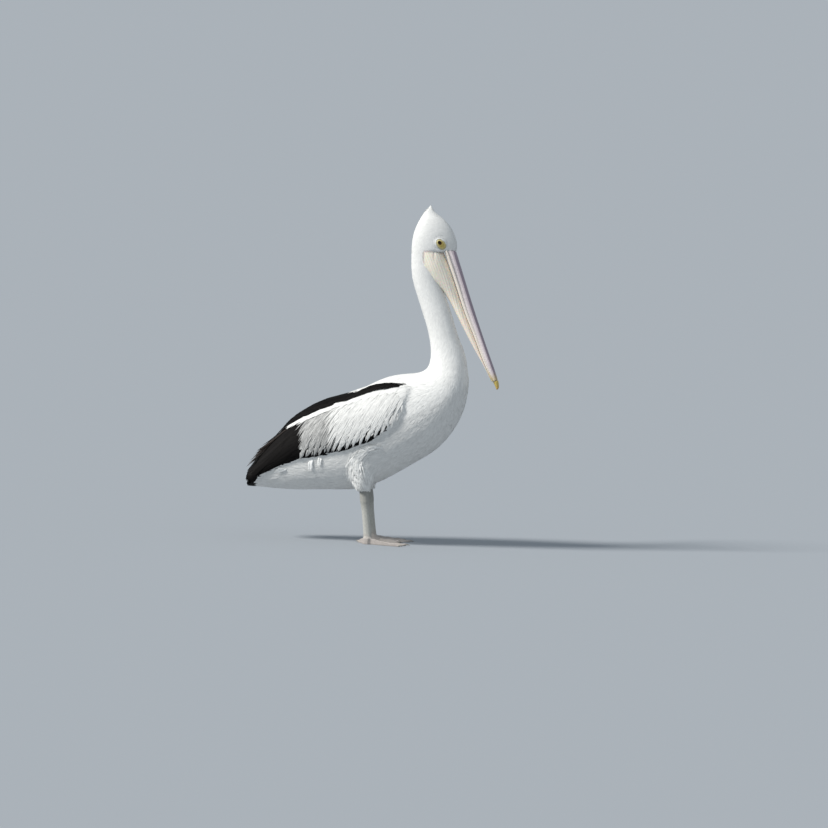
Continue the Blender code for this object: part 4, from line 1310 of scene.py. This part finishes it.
LOOSE_ENDS = ((0.66, 0.83), (0.44, 0.66), (0.17, 0.50), (0.06, 0.24))
BLEACHED = np.array([0.038, 0.031, 0.028])
SLIPPED_COUNT = 11
SLIPPED_LOCKS = [  # place in the wing's box, spread along the edge, heading, length
    ((0.122, 0.036), 0.0040, 268, 0.034),
    ((0.202, 0.070), 0.0028, 270, 0.026),
    ((-0.120, -0.100), 0.0075, 196, 0.036),
]


def way(degrees):
    """A fixed heading in side view, for all of a set of feathers."""
    heading = np.array([math.cos(math.radians(degrees)), 0.0, math.sin(math.radians(degrees))])
    return lambda places: np.tile(heading, (len(places), 1))


def along_band(places):
    """The heading of the black back band and of the white strip under it, which droops towards the tail."""
    turn = np.radians(np.interp(places[:, 0], BAND_BENDS, BAND_WAYS))
    return np.stack([np.cos(turn), np.zeros(len(places)), np.sin(turn)], axis=1)


def hang(roots, degrees, longest, chance):
    """Lengths and turns that gather the coverts' tips into locks with gaps of black between them."""
    cosine, sine = math.cos(math.radians(degrees)), math.sin(math.radians(degrees))
    heights = roots[:, 2] - height_of(roots, WING_EDGE)
    for _ in range(4):
        landing = roots.copy()
        landing[:, 0] += heights / -sine * cosine
        heights = roots[:, 2] - height_of(landing, WING_EDGE)
    along = landing[:, 0] / LOCK_STEP
    lock = np.round(along)
    wander = 0.5 * np.sin(lock * 12.9898) + 0.5 * np.sin(lock * 4.1414)
    off = along - lock - LOCK_WANDER * wander
    notch = NOTCH_RISE * np.minimum(np.abs(off), 0.5) ** NOTCH_POWER
    fringe = FRINGE + FRINGE_WANDER * wander + notch
    fringe += FRONT_RISE * step_up(landing[:, 0], WING_EDGE[1][0], WING_EDGE[0][0])
    reach = (heights - fringe) / -sine
    lengths = np.clip(reach + chance.normal(0.0, 0.002, len(roots)), 0.016, longest)
    turns = np.clip(off * LOCK_STEP * 0.8 / np.maximum(lengths, 0.03), -LOCK_TURN, LOCK_TURN)
    # None reaches back past the line where the bare black flight feathers begin.
    to_line = -behind_panel_front(roots) / (sine * PANEL_SLOPE - cosine)
    to_line += chance.normal(0.0, 0.004, len(roots))
    return np.clip(lengths, 0.012, np.maximum(to_line, 0.012)), turns * (lengths < longest)


def row_between(side, hand, ends, count):
    """Roots, ways and lengths of a row of long feathers whose ends lie on two lines in side view."""
    share = np.linspace(0.0, 1.0, count)[:, None]
    first_root, last_root, first_tip, last_tip = np.array(points_in("flight_feathers_" + side, *ends))
    start = first_root + share * (last_root - first_root)
    across = np.insert(first_tip + share * (last_tip - first_tip) - start, 1, 0.0, axis=1)
    roots = cast_on(np.insert(start, 1, BESIDE * hand, axis=1), (0.0, -hand, 0.0))
    return roots, lambda places: unit(across), np.linalg.norm(across, axis=1)


x, z = tri_outside[:, 0], tri_outside[:, 2]
over_edge = z - height_of(tri_outside, WING_EDGE)
under_band = height_of(tri_outside, BAND_EDGE) - z
behind = behind_panel_front(tri_outside)
for index, (side, hand) in enumerate(SIDES.items()):
    chance = np.random.default_rng(500 + index)
    on_wing = owned_by(*[f"{part}_{side}" for part in ("wing", "flight_feathers", "scapulars")])
    outer = on_wing & (tri_normal[:, 1] * hand > -0.2)
    outwards = tri_middle[:, 1] * hand
    # Everything that the long feathers might leave open is closed first with short ones.
    roots = scatter(on_wing, 0.0052, 51 + index)
    lay_feathers(
        "wing_ground_" + side, CONTOUR, roots, way(222), (0.026, 0.011), marking(roots), WHITE_COAT,
        51 + index, lift=0.45, yaw=0.06,
    )
    # Black edges of the flight feathers, which the white fringe hangs over.
    on_border = (outer | (owned_by("trunk") & (tri_normal[:, 1] * hand > 0.1))) & (outwards > 0)
    on_border &= (over_edge > 0.0015) & (over_edge < border_top(x) + 0.002)
    lay_feathers(
        "border_feathers_" + side, CONTOUR, scatter(on_border, 0.0042, 53 + index), way(203),
        (0.030, 0.0080), SOOT, BLACK_COAT, 53 + index, lift=0.86, yaw=0.02, twist=0.05, variety=(0.7, 1.4),
    )
    # The white coverts: a rear group toned darker as painted shade, and a fuller front group that lies over
    # it.
    panel = outer & (under_band > 0.0015) & (over_edge > 0.026) & (behind < -0.004)
    for order, (group, spacing, longest, width, variety, proud) in enumerate(COVERT_GROUPS):
        seed = 60 + index * 2 + order
        part = x < GROUP_BREAK + 0.040 if group == "rear" else x >= GROUP_BREAK
        roots = scatter(panel & part, spacing, seed)
        lengths, turns = hang(outside(roots), COVERT_WAY, longest, chance)
        lay_feathers(
            f"{group}_coverts_{side}", COVERT, roots, way(COVERT_WAY), (lengths, width), WHITE, WHITE_COAT,
            seed, outline=lancet, yaw=0.03, turn=turns * hand, twist=0.16, thickness=0.16, proud=proud,
            fade=0.03, variety=variety,
        )
    # A bright strip of long white feathers lies just under the black ones, and narrows to a point.
    narrowing = np.clip((x - STRIP_END) / STRIP_TAPER, 0.0, 1.0)
    strip = outer & (under_band > -0.001) & (under_band < STRIP_DEPTH * narrowing)
    strip &= (x > STRIP_END + 0.006) & (x < GROUP_BREAK + 0.056) & (outwards > STRIP_INNER)
    roots = scatter(strip, 0.0040, 71 + index)
    to_end = np.maximum(roots[0][:, 0] - STRIP_END, 0.008)
    size = np.minimum(0.055, to_end), np.interp(to_end, (0.01, 0.09), (0.0034, 0.0085))
    lay_feathers(
        "strip_feathers_" + side, COVERT, roots, along_band, size, WHITE, WHITE_COAT, 71 + index,
        yaw=0.025, twist=0.06, proud=0.0014, fade=0.0, variety=(1.0, 1.08), outline=lancet,
    )
    # Behind the coverts the folded flight feathers are black. Long vanes lie over short ones there.
    black_part = (on_wing | (owned_by("trunk", "tail") & (outwards > -0.002))) & (tri_dark > 0.5)
    roots = scatter(black_part & (behind > 0.004), 0.0060, 91 + index)
    lengths = np.clip((roots[0][:, 0] - REAR_END) * 1.3, 0.014, 0.050)
    lay_feathers(
        "rear_feathers_" + side, COVERT, roots, way(216), (lengths, 0.012), SOOT, BLACK_COAT, 91 + index,
        yaw=0.04, twist=0.06, fade=0.0, lift=0.85, variety=(0.7, 1.3),
    )
    for order, (row, *ends, count, tone, proud) in enumerate(FLIGHT_ROWS):
        row_roots, row_ways, lengths = row_between(side, hand, ends, count)
        lengths = lengths * chance.uniform(0.95, 1.03, count)
        lay_feathers(
            f"{row}_flight_feathers_{side}", VANE, row_roots, row_ways, (lengths, 0.0125),
            SOOT * np.linspace(*tone, count)[:, None], BLACK_COAT, 81 + index + 2 * order,
            outline=rounded, thickness=0.08, yaw=0.012, twist=0.03, lift=0.92,
            proud=np.linspace(*proud, count), fade=0.0, free=0.8, variety=(0.85, 1.2),
        )
    # Worn ends of a few flight feathers, bleached brown, stand off the rest at the wing's upper edge.
    loose_roots, loose_ways, lengths = row_between(side, hand, LOOSE_ENDS, LOOSE_COUNT)
    lengths = lengths * chance.uniform(0.85, 1.1, LOOSE_COUNT)
    bleached = np.where(np.arange(LOOSE_COUNT)[:, None] % 3 == 1, SOOT * 4, BLEACHED)
    lay_feathers(
        "loose_flight_feathers_" + side, VANE, loose_roots, loose_ways, (lengths, 0.0105), bleached,
        BLACK_COAT, 111 + index, outline=lancet, thickness=0.12, yaw=0.05, twist=0.25, proud=0.004,
        fade=0.0, free=0.3, curl=chance.uniform(0.001, 0.010, LOOSE_COUNT),
    )
    # The black scapulars, from a sharp point at the shoulder back over the folded wing.
    band = (on_wing | owned_by("trunk")) & (tri_dark > 0.5) & (x > STRIP_END) & (outwards > 0)
    band &= under_band < -0.0040 * step_up(x, BAND_BENDS[1], BAND_BENDS[2])
    roots = scatter(band, 0.0048, 101 + index)
    forward = step_up(roots[0][:, 0], BAND_BENDS[1], BAND_BENDS[3])
    lay_feathers(
        "scapular_feathers_" + side, COVERT, roots, along_band,
        (0.062 - 0.036 * forward, 0.0130 - 0.0075 * forward), SOOT, BLACK_COAT, 101 + index, yaw=0.03,
        twist=0.06, proud=0.0018 + 0.0016 * forward, fade=0.0, variety=(0.8, 1.5),
    )
    # A few white flank feathers have slipped out over the wing's lower edge, in three small locks.
    spread = np.linspace(-1, 1, SLIPPED_COUNT)
    for order, (shares, reach, heading, length) in enumerate(SLIPPED_LOCKS):
        lock_x, lock_z = point_in("wing_" + side, *shares)
        starts = np.full((SLIPPED_COUNT, 3), BESIDE * hand)
        starts[:, 0] = lock_x + reach * spread
        starts[:, 2] = lock_z + 0.003 * chance.uniform(-1, 1, SLIPPED_COUNT)
        # They are toned brighter than the other white feathers: painted light.
        lay_feathers(
            f"slipped_feathers_{side}_{order + 1}", CONTOUR, cast_on(starts, (0.0, -hand, 0.0)),
            way(heading), (length * (1 - 0.4 * spread**2), 0.0070), WHITE * 1.1, WHITE_COAT,
            121 + index * 3 + order, lift=1.1, proud=0.0042, yaw=0.09, fade=0.0, variety=(1.0, 1.05),
            thickness=0.3, outline=lancet, curl=0.002, twist=0.2,
        )


# ---- The tail ------------------------------------------------------------------------------------
# Twenty-two stiff black feathers with worn round tips fan out under the wings' ends. As many lie over
# them for the wings' own tips, and a last row hangs across the end and closes it.
TAIL_COUNT = 22
TAIL_LOW, TAIL_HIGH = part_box("tail")
TAIL_SHOWN = 0.032  # length of each tail feather that shows past the white feathers under the tail
TAIL_ROWS = [  # piece, where its roots are looked for and which way, heading, length, free past
    ("tail_feathers", (TAIL_SHOWN, -BESIDE), (0.0, 0.0, 1.0), (-1.0, 0.05), TAIL_SHOWN - 0.005, 0.5),
    (
        "wing_tip_feathers", (TAIL_SHOWN * 1.3, BESIDE), (0.0, 0.0, -1.0), (-1.0, -1.25),
        TAIL_SHOWN * 1.8, 0.85,
    ),
    (
        "tail_end_feathers", (-BESIDE, TAIL_SHOWN * 1.9), (1.0, 0.0, 0.0), (-0.1, -1.0),
        TAIL_SHOWN * 1.55, 0.97,
    ),
]
spread = np.linspace(-1.0, 1.0, TAIL_COUNT)
for order, (name, (start_x, start_z), found_along, (back, up), length, free) in enumerate(TAIL_ROWS):
    starts = np.stack([
        TAIL_LOW.x + start_x + 0.004 * np.sin(spread * 25), spread * TAIL_HIGH.y * 0.80,
        np.full(TAIL_COUNT, TAIL_LOW.z + start_z),
    ], axis=1)
    tail_ways = unit(np.stack([np.full(TAIL_COUNT, back), spread * 0.12, np.full(TAIL_COUNT, up)], axis=1))
    lay_feathers(
        name, VANE, cast_on(starts, found_along), lambda places: tail_ways,
        (length - 0.006 * np.abs(spread), 0.0125), SOOT * 1.6, BLACK_COAT, 131 + order, outline=rounded,
        yaw=0.01, twist=0.03, proud=0.0004 + 0.0008 * (1 - np.abs(spread)), fade=0.0, free=free,
    )
